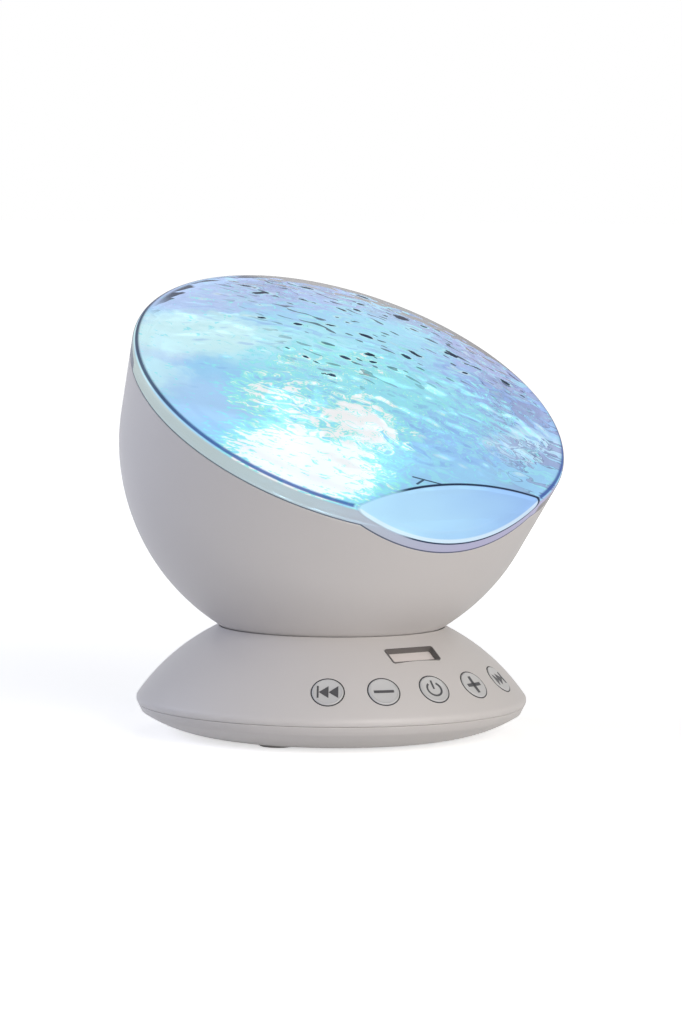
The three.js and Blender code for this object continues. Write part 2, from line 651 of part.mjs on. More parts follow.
// The speaker's sizes. It sits between the screws' posts, and the foot of the head's post clears it.
const SPEAKER_SHARE = 0.606; // of the screws' ring, which leaves room for the posts round the speaker
const speakerRadius = bossRing * SPEAKER_SHARE;
const SPEAKER_LIP = 2.4;
const SPEAKER_LIP_HEIGHT = 1.6;
const BASKET_WALL = 0.8;
const BASKET_BACK_SHARE = 0.525; // of the speaker's radius, as the three shares below
const BASKET_BACK = 8.6;
const BASKET_WINDOW_SHARE = 0.4;
const CONE_WALL = 0.6;
const CONE_THROAT_SHARE = 0.275;
const CONE_RISE = 3.6;
const CONE_CAP_RISE = 1.2;
const MAGNET_SHARE = 0.475;
const MAGNET_HEIGHT = 4;
const SPEAKER_CLEARANCE = 1.6;
const speakerLow = plateTop + SEAT_GAP;
const magnetLow = BASKET_BACK + SEAT_GAP;
const stalkBossLow = magnetLow + MAGNET_HEIGHT + SPEAKER_CLEARANCE;

// The sockets sit side by side in a flat pocket at the back, on the edge of the main board.
const MAIN_BOARD_LOW = 8.4;
const mainBoardTop = MAIN_BOARD_LOW + BOARD_THICK;
const PANEL_SETBACK = 5; // from the base's widest edge to the pocket's flat face
const PANEL_WALL = 2.2;
const PANEL_HALF_WIDTH = 15.5;
const PANEL_BOTTOM = 9.4;
const SOCKET_FROM_MIDDLE = 7.5;
const POWER_WIDTH = 8.9;
const POWER_HEIGHT = 3.2;
const AUDIO_NOSE = 2.4;
const AUDIO_BODY = 5;
const panelFace = BASE_RADIUS - PANEL_SETBACK;
const powerHeight = mainBoardTop + SEAT_GAP + POWER_HEIGHT / 2;
const audioHeight = mainBoardTop + SEAT_GAP + AUDIO_BODY / 2;

// The same solid with its +Z turned to face the back.
const facingBack = (solid, x, height) => placed(solid, { turn: [-QUARTER_TURN, 0, 0], at: [x, 0, height] });

// Everything under the cone's surface, taken in by an inset.
function underSlope(inset) {
  const radius = BASE_ARC_RADIUS - inset;
  const side = edgeCentre[0] + EDGE_RADIUS - inset;
  const from = angleOf(slopeCentre, edgeCentre);
  const curve = arc(slopeCentre, radius, from, QUARTER_TURN);
  const top = slopeCentre[1] + radius;
  return revolved([[0, 0], [side, 0], [side, EDGE_HEIGHT], ...curve, [0, top]]);
}

function baseShell() {
  const seat = arc(pivot, seatRadius, -QUARTER_TURN, angleOf(pivot, neckEdge));
  seat[0][0] = 0;
  const slopeStart = angleOf(slopeCentre, neckEdge);
  const slopeEnd = angleOf(slopeCentre, edgeCentre);
  const slope = arc(slopeCentre, BASE_ARC_RADIUS, slopeStart, slopeEnd);
  const seamAngle = deg(Math.asin((SEAM_HEIGHT - EDGE_HEIGHT) / EDGE_RADIUS));
  const edge = arc(edgeCentre, EDGE_RADIUS, slopeEnd, seamAngle);
  const skirtTop = [skirtInside, slopeHeight(skirtInside, slopeInside)];
  const throat = crossing(slopeCentre, slopeInside, pivot, seatRadius + SEAT_WALL);
  const inside = arc(slopeCentre, slopeInside, angleOf(slopeCentre, skirtTop), angleOf(slopeCentre, throat));
  const under = arc(pivot, seatRadius + SEAT_WALL, angleOf(pivot, throat), -QUARTER_TURN);
  under[under.length - 1][0] = 0;
  return revolved([
    ...seat, ...slope.slice(1), ...edge.slice(1), [skirtInside, SEAM_HEIGHT], ...inside, ...under.slice(1),
  ]);
}

function baseCover() {
  const filled = underSlope(BASE_WALL / 2);
  const bosses = bossTurns.map((turn) => {
    const [x, y] = onRing(bossRing, turn);
    return placed(rod(BOSS_RADIUS, bossLow, pivotHeight, SMALL_SIDES), { at: [x, y, 0] }).intersect(filled);
  });
  const bossHoles = bossTurns.map((turn) => {
    const [x, y] = onRing(bossRing, turn);
    const hole = rod(SCREW_HOLE, bossLow - OVERRUN, bossLow + BOSS_HOLE_DEPTH, SMALL_SIDES);
    return placed(hole, { at: [x, y, 0] });
  });
  const seatMiddle = pivotHeight - seatRadius - SEAT_WALL / 2;
  const stalk = block(STALK_WIDTH, STALK_WIDTH, seatMiddle, stalkTop);
  const stalkBoss = rod(STALK_BOSS_RADIUS, stalkBossLow, seatMiddle, PART_SIDES);
  const stalkHole = rod(SCREW_HOLE, stalkBossLow + BASE_WALL, stalkTop + OVERRUN, SMALL_SIDES);
  const panelDepth = BASE_RADIUS - panelFace + PANEL_WALL;
  const panelWidth = 2 * (PANEL_HALF_WIDTH + PANEL_WALL);
  const panelBack = block(panelWidth, panelDepth, SEAM_HEIGHT, pivotHeight);
  const panelMiddle = panelFace - PANEL_WALL + panelDepth / 2;
  const panel = placed(panelBack, { at: [0, panelMiddle, 0] }).intersect(filled);
  const pocket = placed(block(2 * PANEL_HALF_WIDTH, 2 * OVERRUN, PANEL_BOTTOM, pivotHeight), {
    at: [0, panelFace + OVERRUN, 0],
  });
  const deep = 2 * OVERRUN;
  const keyHole = rod(KEY_RADIUS + RUNNING_GAP, -deep, deep, KEY_SIDES);
  const keyHoles = keyTurns.map((turn) => onSlope(keyHole, keyRing, turn));
  const windowHole = onSlope(block(WINDOW_WIDTH, WINDOW_HEIGHT, -deep, deep), windowRing, 0);
  const reach = [BASE_RADIUS / 2, BASE_RADIUS + OVERRUN];
  const powerSlot = block(POWER_WIDTH + 2 * RUNNING_GAP, POWER_HEIGHT + 2 * RUNNING_GAP, ...reach);
  const audioHole = rod(AUDIO_NOSE + RUNNING_GAP, ...reach, 2 * SMALL_SIDES);
  return cut(joined([baseShell(), panel, ...bosses, stalk, stalkBoss]), [
    pocket, ...bossHoles, stalkHole, ...keyHoles, windowHole,
    facingBack(powerSlot, -SOCKET_FROM_MIDDLE, powerHeight),
    facingBack(audioHole, SOCKET_FROM_MIDDLE, audioHeight),
  ]);
}
fit(light, "base_cover", baseCover(), "housing");

// The saddle inside the bowl, and the screw that clamps it to the post.
const saddleTop = pivotHeight - saddleUnder + SADDLE_WALL;
function tiltSaddle() {
  const half = deg(Math.asin(SADDLE_RADIUS / saddleUnder));
  const lower = arc(pivot, saddleUnder, -QUARTER_TURN, half - QUARTER_TURN);
  const upper = arc(pivot, saddleUnder - SADDLE_WALL, half - QUARTER_TURN, -QUARTER_TURN);
  const seat = upper.filter(([r]) => r > SADDLE_SEAT);
  lower[0][0] = 0;
  const bore = rod(CLEARANCE_HOLE, 0, pivotHeight, SMALL_SIDES);
  return revolved([...lower, ...seat, [SADDLE_SEAT, saddleTop], [0, saddleTop]], PART_SIDES).subtract(bore);
}
fit(light, "tilt_saddle", tiltSaddle(), "inner_plastic");
const tiltScrewSeat = saddleTop + SEAT_GAP;
const tiltScrewLength = tiltScrewSeat - stalkBossLow - BASE_WALL - TILT_SCREW_END_GAP;
fit(light, "tilt_screw", screw(tiltScrewSeat, tiltScrewLength), "steel");

// The shelf under the keys follows the inside of the cone, and is part of the plate.
const SHELF_DEPTH = 11.9; // from the cone's surface to the shelf
const SHELF_WALL = 2;
const SHELF_MARGIN = 3.2; // how far the shelf runs past the keys and the window
const FLEX_THICK = 0.8;
const SHELF_FOOT_SPREAD = 2;
const shelfRadius = BASE_ARC_RADIUS - SHELF_DEPTH;
const shelfMargin = deg(SHELF_MARGIN / shelfRadius);
const slopeAngle = (ring) => angleOf(slopeCentre, [ring, slopeHeight(ring)]);
const shelfFrom = slopeAngle(keyRing) - shelfMargin;
const shelfTo = slopeAngle(windowRing) + shelfMargin;
const shelfHalfTurn = -keyTurns[0] + deg((KEY_RADIUS + SHELF_MARGIN) / keyRing);

// The slice of a solid within so many degrees of the front.
function frontSlice(solid, halfTurn) {
  const reach = 2 * BASE_RADIUS;
  const corners = [-halfTurn, 0, halfTurn].map((a) => onRing(reach, a - QUARTER_TURN));
  return solid.intersect(raised([[0, 0], ...corners], -reach, reach));
}

// A band that follows the cone, between two depths under its surface.
function band(depth, thickness) {
  const outer = arc(slopeCentre, BASE_ARC_RADIUS - depth, shelfFrom, shelfTo);
  const inner = arc(slopeCentre, BASE_ARC_RADIUS - depth - thickness, shelfTo, shelfFrom);
  return [...outer, ...inner];
}

// The base plate: a dished floor with a lip inside the cover, a grille for the speaker, screw posts,
// two posts for the board and the shelf for the keys.
const PLATE_ARC_RADIUS = 36;
const PLATE_FROM_ANGLE = 9.5; // degrees up from flat
const PLATE_TO_ANGLE = 33;
const LIP_THICK = 1.4;
const LIP_RISE = 1.4;
const GRILLE_HOLE_SHARE = 0.075; // of the speaker's radius, as the pitch
const GRILLE_PITCH_SHARE = 0.26;
const GRILLE_ROWS = 3;
const GRILLE_PER_ROW = 6;
const COLLAR_WALL = 1.4;
const COLLAR_TOP = 5.4;
const FOOT_RADIUS = 5;
const FOOT_RECESS = 0.8;
const SCREW_RECESS = 3.1;
const SCREW_RECESS_DEPTH = 2.2;
const PLATE_BOSS_RADIUS = 5.4;
const BOARD_POST_RADIUS = 2.6;
const BOARD_POST_SPREAD = 19; // from the middle to each post
const BOARD_POST_SETBACK = 17.5; // from the pocket's face to the posts
const BOARD_SCREW_LENGTH = 4.5;
const footTop = FOOT_PROUD + FOOT_RECESS;
const screwSeat = footTop + SCREW_RECESS_DEPTH;
const boardPosts = [-1, 1].map((side) => [side * BOARD_POST_SPREAD, panelFace - BOARD_POST_SETBACK]);

function basePlate() {
  const bendCentre = [
    plateFlat - PLATE_ARC_RADIUS * Math.sin(rad(PLATE_FROM_ANGLE)),
    FOOT_PROUD + PLATE_ARC_RADIUS * Math.cos(rad(PLATE_FROM_ANGLE)),
  ];
  const under = arc(
    bendCentre, PLATE_ARC_RADIUS, PLATE_FROM_ANGLE - QUARTER_TURN, PLATE_TO_ANGLE - QUARTER_TURN,
  );
  const overRadius = PLATE_ARC_RADIUS - PLATE_WALL;
  const overFrom = deg(Math.acos((bendCentre[1] - plateTop) / overRadius));
  const over = arc(bendCentre, overRadius, PLATE_TO_ANGLE - QUARTER_TURN, overFrom - QUARTER_TURN);
  const seamTop = SEAM_HEIGHT - SEAT_GAP;
  const lipOut = skirtInside - RUNNING_GAP;
  const lipTop = SEAM_HEIGHT + LIP_RISE;
  const dish = revolved([
    [0, FOOT_PROUD], ...under, [BASE_RADIUS - RUNNING_GAP, seamTop], [lipOut, seamTop], [lipOut, lipTop],
    [lipOut - LIP_THICK, lipTop], ...over, [0, plateTop],
  ]);
  const buried = plateTop - PLATE_WALL / 2;
  const collarInside = speakerRadius + RUNNING_GAP;
  const collar = rod(collarInside + COLLAR_WALL, buried, COLLAR_TOP).subtract(
    rod(collarInside, 0, pivotHeight),
  );
  const bosses = bossTurns.map((turn) => {
    const [x, y] = onRing(bossRing, turn);
    return placed(rod(PLATE_BOSS_RADIUS, buried, PLATE_BOSS_TOP, 2 * SMALL_SIDES), { at: [x, y, 0] });
  });
  const posts = boardPosts.map(([x, y]) =>
    placed(rod(BOARD_POST_RADIUS, buried, MAIN_BOARD_LOW - SEAT_GAP, SMALL_SIDES), { at: [x, y, 0] }),
  );
  const shelf = revolved(band(SHELF_DEPTH, SHELF_WALL));
  const [footOut] = arc(slopeCentre, shelfRadius, shelfFrom, shelfFrom);
  const [footIn, shelfIn] = [footOut[0] - SHELF_FOOT_SPREAD, footOut[1]];
  const leg = revolved([
    [footIn, buried], [footOut[0], buried], [footOut[0], shelfIn], [footIn, shelfIn],
  ]);
  const shelfSlice = frontSlice(shelf.add(leg), shelfHalfTurn);
  const holes = bossTurns.flatMap((turn) => {
    const [x, y] = onRing(bossRing, turn);
    const at = { at: [x, y, 0] };
    return [
      placed(rod(FOOT_RADIUS + RUNNING_GAP, 0, footTop, 2 * SMALL_SIDES), at),
      placed(rod(SCREW_RECESS, 0, screwSeat, SMALL_SIDES), at),
      placed(rod(CLEARANCE_HOLE, 0, pivotHeight, SMALL_SIDES), at),
    ];
  });
  const postHoles = boardPosts.map(([x, y]) =>
    placed(rod(SCREW_HOLE, plateTop, pivotHeight, SMALL_SIDES), { at: [x, y, 0] }),
  );
  const lipGap = placed(
    block(2 * (PANEL_HALF_WIDTH + PANEL_WALL + RUNNING_GAP), BASE_RADIUS, seamTop, pivotHeight),
    { at: [0, panelFace, 0] },
  );
  const grille = [];
  const grilleHole = speakerRadius * GRILLE_HOLE_SHARE;
  for (let row = 1; row <= GRILLE_ROWS; row++) {
    for (const turn of spread(row * GRILLE_PER_ROW)) {
      const [x, y] = onRing(row * speakerRadius * GRILLE_PITCH_SHARE, turn);
      grille.push(placed(rod(grilleHole, 0, 2 * plateTop, TINY_SIDES), { at: [x, y, 0] }));
    }
  }
  const plate = joined([dish.subtract(lipGap), collar, ...bosses, ...posts, shelfSlice]);
  return cut(plate, [...holes, ...postHoles, ...grille]);
}
fit(light, "base_plate", basePlate(), "housing");

const FOOT_EDGE = 0.5;
bossTurns.forEach((turn, i) => {
  const at = { at: [...onRing(bossRing, turn), 0] };
  const top = footTop - SEAT_GAP;
  const pad = revolved(
    [[0, 0], [FOOT_RADIUS - FOOT_EDGE, 0], [FOOT_RADIUS, FOOT_EDGE], [FOOT_RADIUS, top], [0, top]],
    2 * SMALL_SIDES,
  );
  fit(light, `foot_pad_${i + 1}`, placed(pad, at), "rubber");
  const upward = placed(screw(0, HEAD_SCREW_LENGTH), { turn: [HALF_TURN, 0, 0] });
  const lifted = placed(upward, { at: [...onRing(bossRing, turn), screwSeat - SEAT_GAP] });
  fit(light, `base_screw_${i + 1}`, lifted, "steel");
});

// The speaker faces down behind the grille: a basket with four windows, a paper cone and a magnet.
function speakerFrame() {
  const mouth = speakerRadius - SPEAKER_LIP;
  const back = speakerRadius * BASKET_BACK_SHARE;
  const opening = speakerRadius * BASKET_WINDOW_SHARE;
  const lipTop = speakerLow + SPEAKER_LIP_HEIGHT;
  const frame = revolved(
    [
      [mouth, speakerLow], [speakerRadius, speakerLow], [speakerRadius, lipTop],
      [mouth + BASKET_WALL, lipTop], [back, BASKET_BACK], [0, BASKET_BACK], [0, BASKET_BACK - BASKET_WALL],
      [back - BASKET_WALL, BASKET_BACK - BASKET_WALL], [mouth, lipTop],
    ].reverse(),
    PART_SIDES,
  );
  const windows = spread(4, QUARTER_TURN / 2).map((turn) => {
    const hole = block(opening, opening, lipTop + BASKET_WALL, BASKET_BACK - 2 * BASKET_WALL);
    const out = (mouth + back) / 2;
    return placed(placed(hole, { at: [out, 0, 0] }), { turn: [0, 0, turn] });
  });
  return cut(frame, windows);
}
fit(light, "speaker_frame", speakerFrame(), "black_plastic");

const coneRim = speakerRadius - SPEAKER_LIP - RUNNING_GAP;
const coneThroat = speakerRadius * CONE_THROAT_SHARE;
const coneLow = speakerLow + RUNNING_GAP;
const coneTop = coneLow + CONE_RISE;
const speakerCone = revolved(
  [
    [0, coneTop - CONE_CAP_RISE], [coneThroat / 2, coneTop - CONE_CAP_RISE / 2], [coneThroat, coneTop],
    [coneRim, coneLow], [coneRim, coneLow + CONE_WALL], [coneThroat, coneTop + CONE_WALL],
    [coneThroat / 2, coneTop - CONE_CAP_RISE / 2 + CONE_WALL], [0, coneTop - CONE_CAP_RISE + CONE_WALL],
  ],
  PART_SIDES,
);
fit(light, "speaker_cone", speakerCone, "cone_paper");
const speakerMagnet = rod(speakerRadius * MAGNET_SHARE, magnetLow, magnetLow + MAGNET_HEIGHT);
fit(light, "speaker_magnet", speakerMagnet, "magnet");

// The main board on its two posts, with the sockets, a chip and a capacitor.
const BOARD_HALF_WIDTH = 24;
const BOARD_DEPTH = 20;
const BOARD_SETBACK = 2.8; // from the skirt's inside to the board's round corners
const boardBack = panelFace - PANEL_WALL - RUNNING_GAP;
const boardMiddle = boardBack - BOARD_DEPTH / 2;
const boardBlank = placed(block(2 * BOARD_HALF_WIDTH, BOARD_DEPTH, MAIN_BOARD_LOW, mainBoardTop), {
  at: [0, boardMiddle, 0],
});
const boardHoles = boardPosts.map(([x, y]) =>
  placed(rod(CLEARANCE_HOLE, 0, pivotHeight, SMALL_SIDES), { at: [x, y, 0] }),
);
const boardRound = rod(skirtInside - BOARD_SETBACK, 0, pivotHeight, FINE_SIDES);
const mainBoard = cut(boardBlank.intersect(boardRound), boardHoles);
fit(light, "main_board", mainBoard, "board");
boardPosts.forEach(([x, y], i) => {
  const solid = placed(screw(mainBoardTop + SEAT_GAP, BOARD_SCREW_LENGTH), { at: [x, y, 0] });
  fit(light, `board_screw_${i + 1}`, solid, "steel");
});

const SOCKET_DEPTH = 7.4;
const SOCKET_SHELL = 0.35;
const TONGUE_THICK = 0.7;
const TONGUE_WIDTH = 6.6;
const TONGUE_BACK = 1.6;
const socketFace = panelFace - RUNNING_GAP;
const socketFoot = socketFace - SOCKET_DEPTH;
function powerSocket() {
  const shell = block(POWER_WIDTH, POWER_HEIGHT, socketFoot, socketFace);
  const inside = block(
    POWER_WIDTH - 2 * SOCKET_SHELL, POWER_HEIGHT - 2 * SOCKET_SHELL, socketFoot + SOCKET_SHELL, pivotHeight,
  );
  const tongue = block(TONGUE_WIDTH, TONGUE_THICK, socketFoot, socketFace - TONGUE_BACK);
  return shell.subtract(inside).add(tongue);
}
fit(light, "power_socket", facingBack(powerSocket(), -SOCKET_FROM_MIDDLE, powerHeight), "steel");

const AUDIO_BODY_DEPTH = 11;
const AUDIO_BORE = 1.8;
const audioBack = boardBack - PANEL_WALL / 2;
const audioSocket = block(AUDIO_BODY, AUDIO_BODY, audioBack - AUDIO_BODY_DEPTH, audioBack)
  .add(rod(AUDIO_NOSE, audioBack - RUNNING_GAP, socketFace, 2 * SMALL_SIDES))
  .subtract(rod(AUDIO_BORE, audioBack - AUDIO_BODY_DEPTH + AUDIO_BORE, pivotHeight, SMALL_SIDES));
fit(light, "audio_socket", facingBack(audioSocket, SOCKET_FROM_MIDDLE, audioHeight), "black_plastic");

const CHIP_WIDTH = 7;
const CHIP_HEIGHT = 1.6;
const CAPACITOR_RADIUS = 3.1;
const CAPACITOR_HEIGHT = 7;
const CAPACITOR_PLACE = 9; // from the middle
const PARTS_SETBACK = 4.6; // from the board's front edge to the middle of the chip and the capacitor
const onBoard = mainBoardTop + SEAT_GAP;
const partsRow = boardMiddle - BOARD_DEPTH / 2 + PARTS_SETBACK;
const chip = placed(block(CHIP_WIDTH, CHIP_WIDTH, onBoard, onBoard + CHIP_HEIGHT), { at: [0, partsRow, 0] });
fit(light, "board_chip", chip, "black_plastic");
const capacitor = placed(rod(CAPACITOR_RADIUS, onBoard, onBoard + CAPACITOR_HEIGHT, SMALL_SIDES), {
  at: [-CAPACITOR_PLACE, partsRow, 0],
});
fit(light, "board_capacitor", capacitor, "magnet");

// The keys' flexible board on the shelf, with a switch under each key and the remote's receiver.
const SWITCH_WIDTH = 6;
const SWITCH_BODY = 3.4;
const SWITCH_PLUNGER = 1.75;
const SWITCH_PLUNGER_RISE = 0.9;
const RECEIVER = [7, 4.5, 3.6];
const RECEIVER_LENS = 1.9;
const flexDepth = SHELF_DEPTH - SEAT_GAP;
const flex = frontSlice(revolved(band(flexDepth - FLEX_THICK, FLEX_THICK)), shelfHalfTurn);
fit(light, "key_board", flex, "board");

// Parts on the flexible board stand clear of its curve by the bulge under half their width.
const bulge = SWITCH_WIDTH ** 2 / (8 * (keyRing - flexDepth));
const switchSeat = flexDepth - FLEX_THICK - SEAT_GAP - bulge;
const plungerTop = SWITCH_BODY + SWITCH_PLUNGER_RISE - switchSeat;
keyTurns.forEach((turn, i) => {
  const body = block(SWITCH_WIDTH, SWITCH_WIDTH, -switchSeat, SWITCH_BODY - switchSeat);
  const plunger = rod(SWITCH_PLUNGER, -switchSeat, plungerTop, SMALL_SIDES);
  fit(light, `key_switch_${i + 1}`, onSlope(body.add(plunger), keyRing, turn), "black_plastic");
});
const receiver = block(RECEIVER[0], RECEIVER[1], -switchSeat, RECEIVER[2] - switchSeat).add(
  placed(rod(RECEIVER_LENS, -RECEIVER[1] / 2, RECEIVER[1] / 2, SMALL_SIDES), {
    turn: [QUARTER_TURN, 0, 0], at: [0, 0, RECEIVER[2] - switchSeat],
  }),
);
fit(light, "remote_receiver", onSlope(receiver, windowRing, 0), "black_plastic");

// The window: a clear plug sunk in its slot, with a flange inside the wall.
const WINDOW_FLANGE = 1.2;
const WINDOW_FLANGE_THICK = 0.9;
// the wall curves away inside, so the flat flange sits deeper by the bulge under half its width
const windowBulge = (WINDOW_WIDTH / 2 + WINDOW_FLANGE) ** 2 / (2 * windowRing);
const windowSeat = BASE_WALL + SEAT_GAP + windowBulge;
const windowPlug = block(
  WINDOW_WIDTH - 2 * RUNNING_GAP, WINDOW_HEIGHT - 2 * RUNNING_GAP, -windowSeat - SEAT_GAP, -WINDOW_DEPTH,
);
const windowFlange = block(
  WINDOW_WIDTH + 2 * WINDOW_FLANGE, WINDOW_HEIGHT + 2 * WINDOW_FLANGE,
  -windowSeat - WINDOW_FLANGE_THICK, -windowSeat,
);
fit(light, "window_lens", onSlope(windowPlug.add(windowFlange), windowRing, 0), "window");

// The keys: a round cap in the cone's wall, a flange under the wall and a stem over its switch.
const KEY_EDGE = 0.4;
const KEY_DISH = 0.25;
const wallFoot = BASE_WALL + RUNNING_GAP;
const stemLow = plungerTop + KEY_TRAVEL + SEAT_GAP;
function key() {
  const flangeTop = -wallFoot - RUNNING_GAP;
  const flangeLow = flangeTop - KEY_FLANGE_THICK;
  return revolved(
    [
      [0, stemLow], [KEY_STEM_RADIUS, stemLow], [KEY_STEM_RADIUS, flangeLow],
      [KEY_FLANGE, flangeLow], [KEY_FLANGE, flangeTop], [KEY_RADIUS, flangeTop],
      [KEY_RADIUS, KEY_PROUD - KEY_EDGE], [KEY_RADIUS - KEY_EDGE, KEY_PROUD], [0, KEY_PROUD - KEY_DISH],
    ],
    KEY_SIDES,
  );
}
keyTurns.forEach((turn, i) => {
  fit(light, `key_${KEY_NAMES[i]}`, onSlope(key(), keyRing, turn), "key");
});

export default light;
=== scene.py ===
# The looks of a water wave effect light: a ball-shaped lamp head under a clear rippled cover,
# which tilts on a round base with five keys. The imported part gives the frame. A piece is drawn in
# millimetres, and its mesh is brought into the frame, in metres, when it is finished.
import math

import bmesh
import bpy
from mathutils import Matrix, Vector
from mathutils.geometry import tessellate_polygon


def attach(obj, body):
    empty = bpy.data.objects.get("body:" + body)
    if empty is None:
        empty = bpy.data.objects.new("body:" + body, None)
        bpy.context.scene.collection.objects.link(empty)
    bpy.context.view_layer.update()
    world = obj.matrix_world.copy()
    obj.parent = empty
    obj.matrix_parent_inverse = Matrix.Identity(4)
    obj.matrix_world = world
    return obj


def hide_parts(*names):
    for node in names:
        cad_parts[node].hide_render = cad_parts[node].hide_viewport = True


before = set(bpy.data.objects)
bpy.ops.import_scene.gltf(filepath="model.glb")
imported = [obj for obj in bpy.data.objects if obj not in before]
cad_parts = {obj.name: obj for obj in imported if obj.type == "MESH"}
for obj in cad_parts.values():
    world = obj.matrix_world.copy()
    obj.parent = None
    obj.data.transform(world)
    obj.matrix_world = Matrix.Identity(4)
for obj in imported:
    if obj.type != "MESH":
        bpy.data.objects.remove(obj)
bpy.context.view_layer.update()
scene = bpy.context.scene

# The view: a long lens from the front left, a little above the base, as the photograph was taken.
# Its place, turn and shift were fitted to the lamp's outlines there.
VIEW_TURN = -34.5
VIEW_RISE = 4.89
VIEW_ROLL = 0.5
VIEW_DISTANCE = 1.0342
VIEW_TARGET = Vector((0, 0, 0.0535))
LENS = 134.1
SENSOR = 36
SHIFT = (0.0081, 0.0225)

turn, rise, roll = (math.radians(a) for a in (VIEW_TURN, VIEW_RISE, VIEW_ROLL))
back = Vector((math.sin(turn) * math.cos(rise), -math.cos(turn) * math.cos(rise), math.sin(rise)))
right = Vector((math.cos(turn), math.sin(turn), 0))
up = back.cross(right)
rolled_right = right * math.cos(roll) + up * math.sin(roll)
rolled_up = up * math.cos(roll) - right * math.sin(roll)
camera_data = bpy.data.cameras.new("studio_camera")
camera_data.sensor_fit = "VERTICAL"
camera_data.sensor_height = SENSOR
camera_data.lens = LENS
camera_data.shift_x, camera_data.shift_y = SHIFT
camera = bpy.data.objects.new("studio_camera", camera_data)
camera.matrix_world = Matrix.Translation(VIEW_TARGET + back * VIEW_DISTANCE) @ Matrix(
    (rolled_right, rolled_up, back)
).transposed().to_4x4()
scene.collection.objects.link(camera)
scene.camera = camera
scene.view_settings.view_transform = "Standard"

# The studio: a white surround that lights softly, and a white table that keeps a faint shadow. The
# camera, mirrors and glass see the surround in full white.
SURROUND_LIGHT = 0.12
TABLE_COLOUR = "#f4f4f4"
TABLE_GLOW = 0.61
GLOW_RISE = (0.12, 0.7)  # metres from the middle over which the table turns pure white
TABLE_HALF = 30.0
WHITE = "#ffffff"
SMOOTH = {"interpolation_type": "SMOOTHSTEP"}


def linear(code):
    """An sRGB hex colour as the linear one that a socket takes."""
    shares = [int(code[i:i + 2], 16) / 255 for i in (1, 3, 5)]
    return [c / 12.92 if c <= 0.04045 else ((c + 0.055) / 1.055) ** 2.4 for c in shares] + [1.0]


def node(tree, kind, settings=None, inputs=None):
    """Adds a node. A kind without "Node" in it is a shader node's, and one word as settings is the
    node's operation. Inputs go by name or in order. A socket or a node is linked to its input, and
    any other value is set."""
    made = tree.nodes.new(kind if "Node" in kind else "ShaderNode" + kind)
    settings = {"operation": settings} if isinstance(settings, str) else settings or {}
    for name, value in settings.items():
        setattr(made, name, value)
    inputs = dict(enumerate(inputs)) if isinstance(inputs, list) else inputs or {}
    for name, value in inputs.items():
        value = value.outputs[0] if isinstance(value, bpy.types.Node) else value
        if isinstance(value, bpy.types.NodeSocket):
            tree.links.new(value, made.inputs[name])
        else:
            made.inputs[name].default_value = value
    return made


def blank_material(name):
    """A new material and its emptied tree."""
    made = bpy.data.materials.new(name)
    made.use_nodes = True
    made.node_tree.nodes.clear()
    return made, made.node_tree


def seen_directly(tree):
    """1 for rays from the camera, a mirror or glass, which see the backdrop's own white."""
    path = node(tree, "LightPath")
    seen = path.outputs["Is Camera Ray"]
    for kind in ("Is Glossy Ray", "Is Transmission Ray"):
        seen = node(tree, "Math", "MAXIMUM", [seen, path.outputs[kind]])
    return seen


world = bpy.data.worlds.new("studio")
scene.world = world
world.use_nodes = True
tree = world.node_tree
tree.nodes.clear()
dim = node(tree, "Background", None, {"Color": linear(WHITE), "Strength": SURROUND_LIGHT})
white = node(tree, "Background", None, {"Color": linear(WHITE), "Strength": 1.0})
surround = node(tree, "MixShader", None, [seen_directly(tree), dim, white])
node(tree, "OutputWorld", None, {"Surface": surround})

table_finish, tree = blank_material("white_table")
matt = node(tree, "BsdfDiffuse", None, {"Color": linear(TABLE_COLOUR)})
place = node(tree, "TexCoord").outputs["Object"]
away = node(tree, "VectorMath", "LENGTH", [place]).outputs["Value"]
strength = node(tree, "MapRange", SMOOTH, [away, *GLOW_RISE, TABLE_GLOW, 1.0])
glow = node(tree, "Emission", None, {"Color": linear(WHITE), "Strength": strength})
lifted = node(tree, "AddShader", None, [matt, glow])
surface = node(tree, "MixShader", None, [seen_directly(tree), matt, lifted])
node(tree, "OutputMaterial", None, {"Surface": surface})
table_mesh = bpy.data.meshes.new("table")
corners = [(TABLE_HALF * x, TABLE_HALF * y, 0) for x, y in ((-1, -1), (1, -1), (1, 1), (-1, 1))]
table_mesh.from_pydata(corners, [], [(0, 1, 2, 3)])
table_mesh.materials.append(table_finish)
table = bpy.data.objects.new("table", table_mesh)
scene.collection.objects.link(table)

# Soft boxes, each with its turn from the camera and its rise above the floor in degrees, its power
# and its colour: a strong one in front, a weak one on the right, two cool ones on the left and a
# weak one behind.
BOX_DISTANCE = 1.2
BOX_WIDTH = 0.8
SOFT_BOXES = (
    ("front_box", 30, 12, 10.0, "#fffbf7"),
    ("right_box", 60, 15, 2.2, "#fffaf5"),
    ("left_box", -60, 20, 2.5, "#dfe8ff"),
    ("side_box", -100, 20, 4.9, "#dfe7ff"),
    ("back_box", 175, 35, 1.6, "#ffffff"),
)
for name, box_turn, box_rise, power, colour in SOFT_BOXES:
    lamp_data = bpy.data.lights.new(name, "AREA")
    lamp_data.shape = "DISK"
    lamp_data.size = BOX_WIDTH
    lamp_data.energy = power
    lamp_data.color = linear(colour)[:3]
    across, above = math.radians(box_turn + VIEW_TURN), math.radians(box_rise)
    level = math.cos(above)
    way = Vector((math.sin(across) * level, -math.cos(across) * level, math.sin(above)))
    lamp = bpy.data.objects.new(name, lamp_data)
    facing = way.to_track_quat("Z", "Y").to_matrix().to_4x4()
    lamp.matrix_world = Matrix.Translation(VIEW_TARGET + way * BOX_DISTANCE) @ facing
    scene.collection.objects.link(lamp)


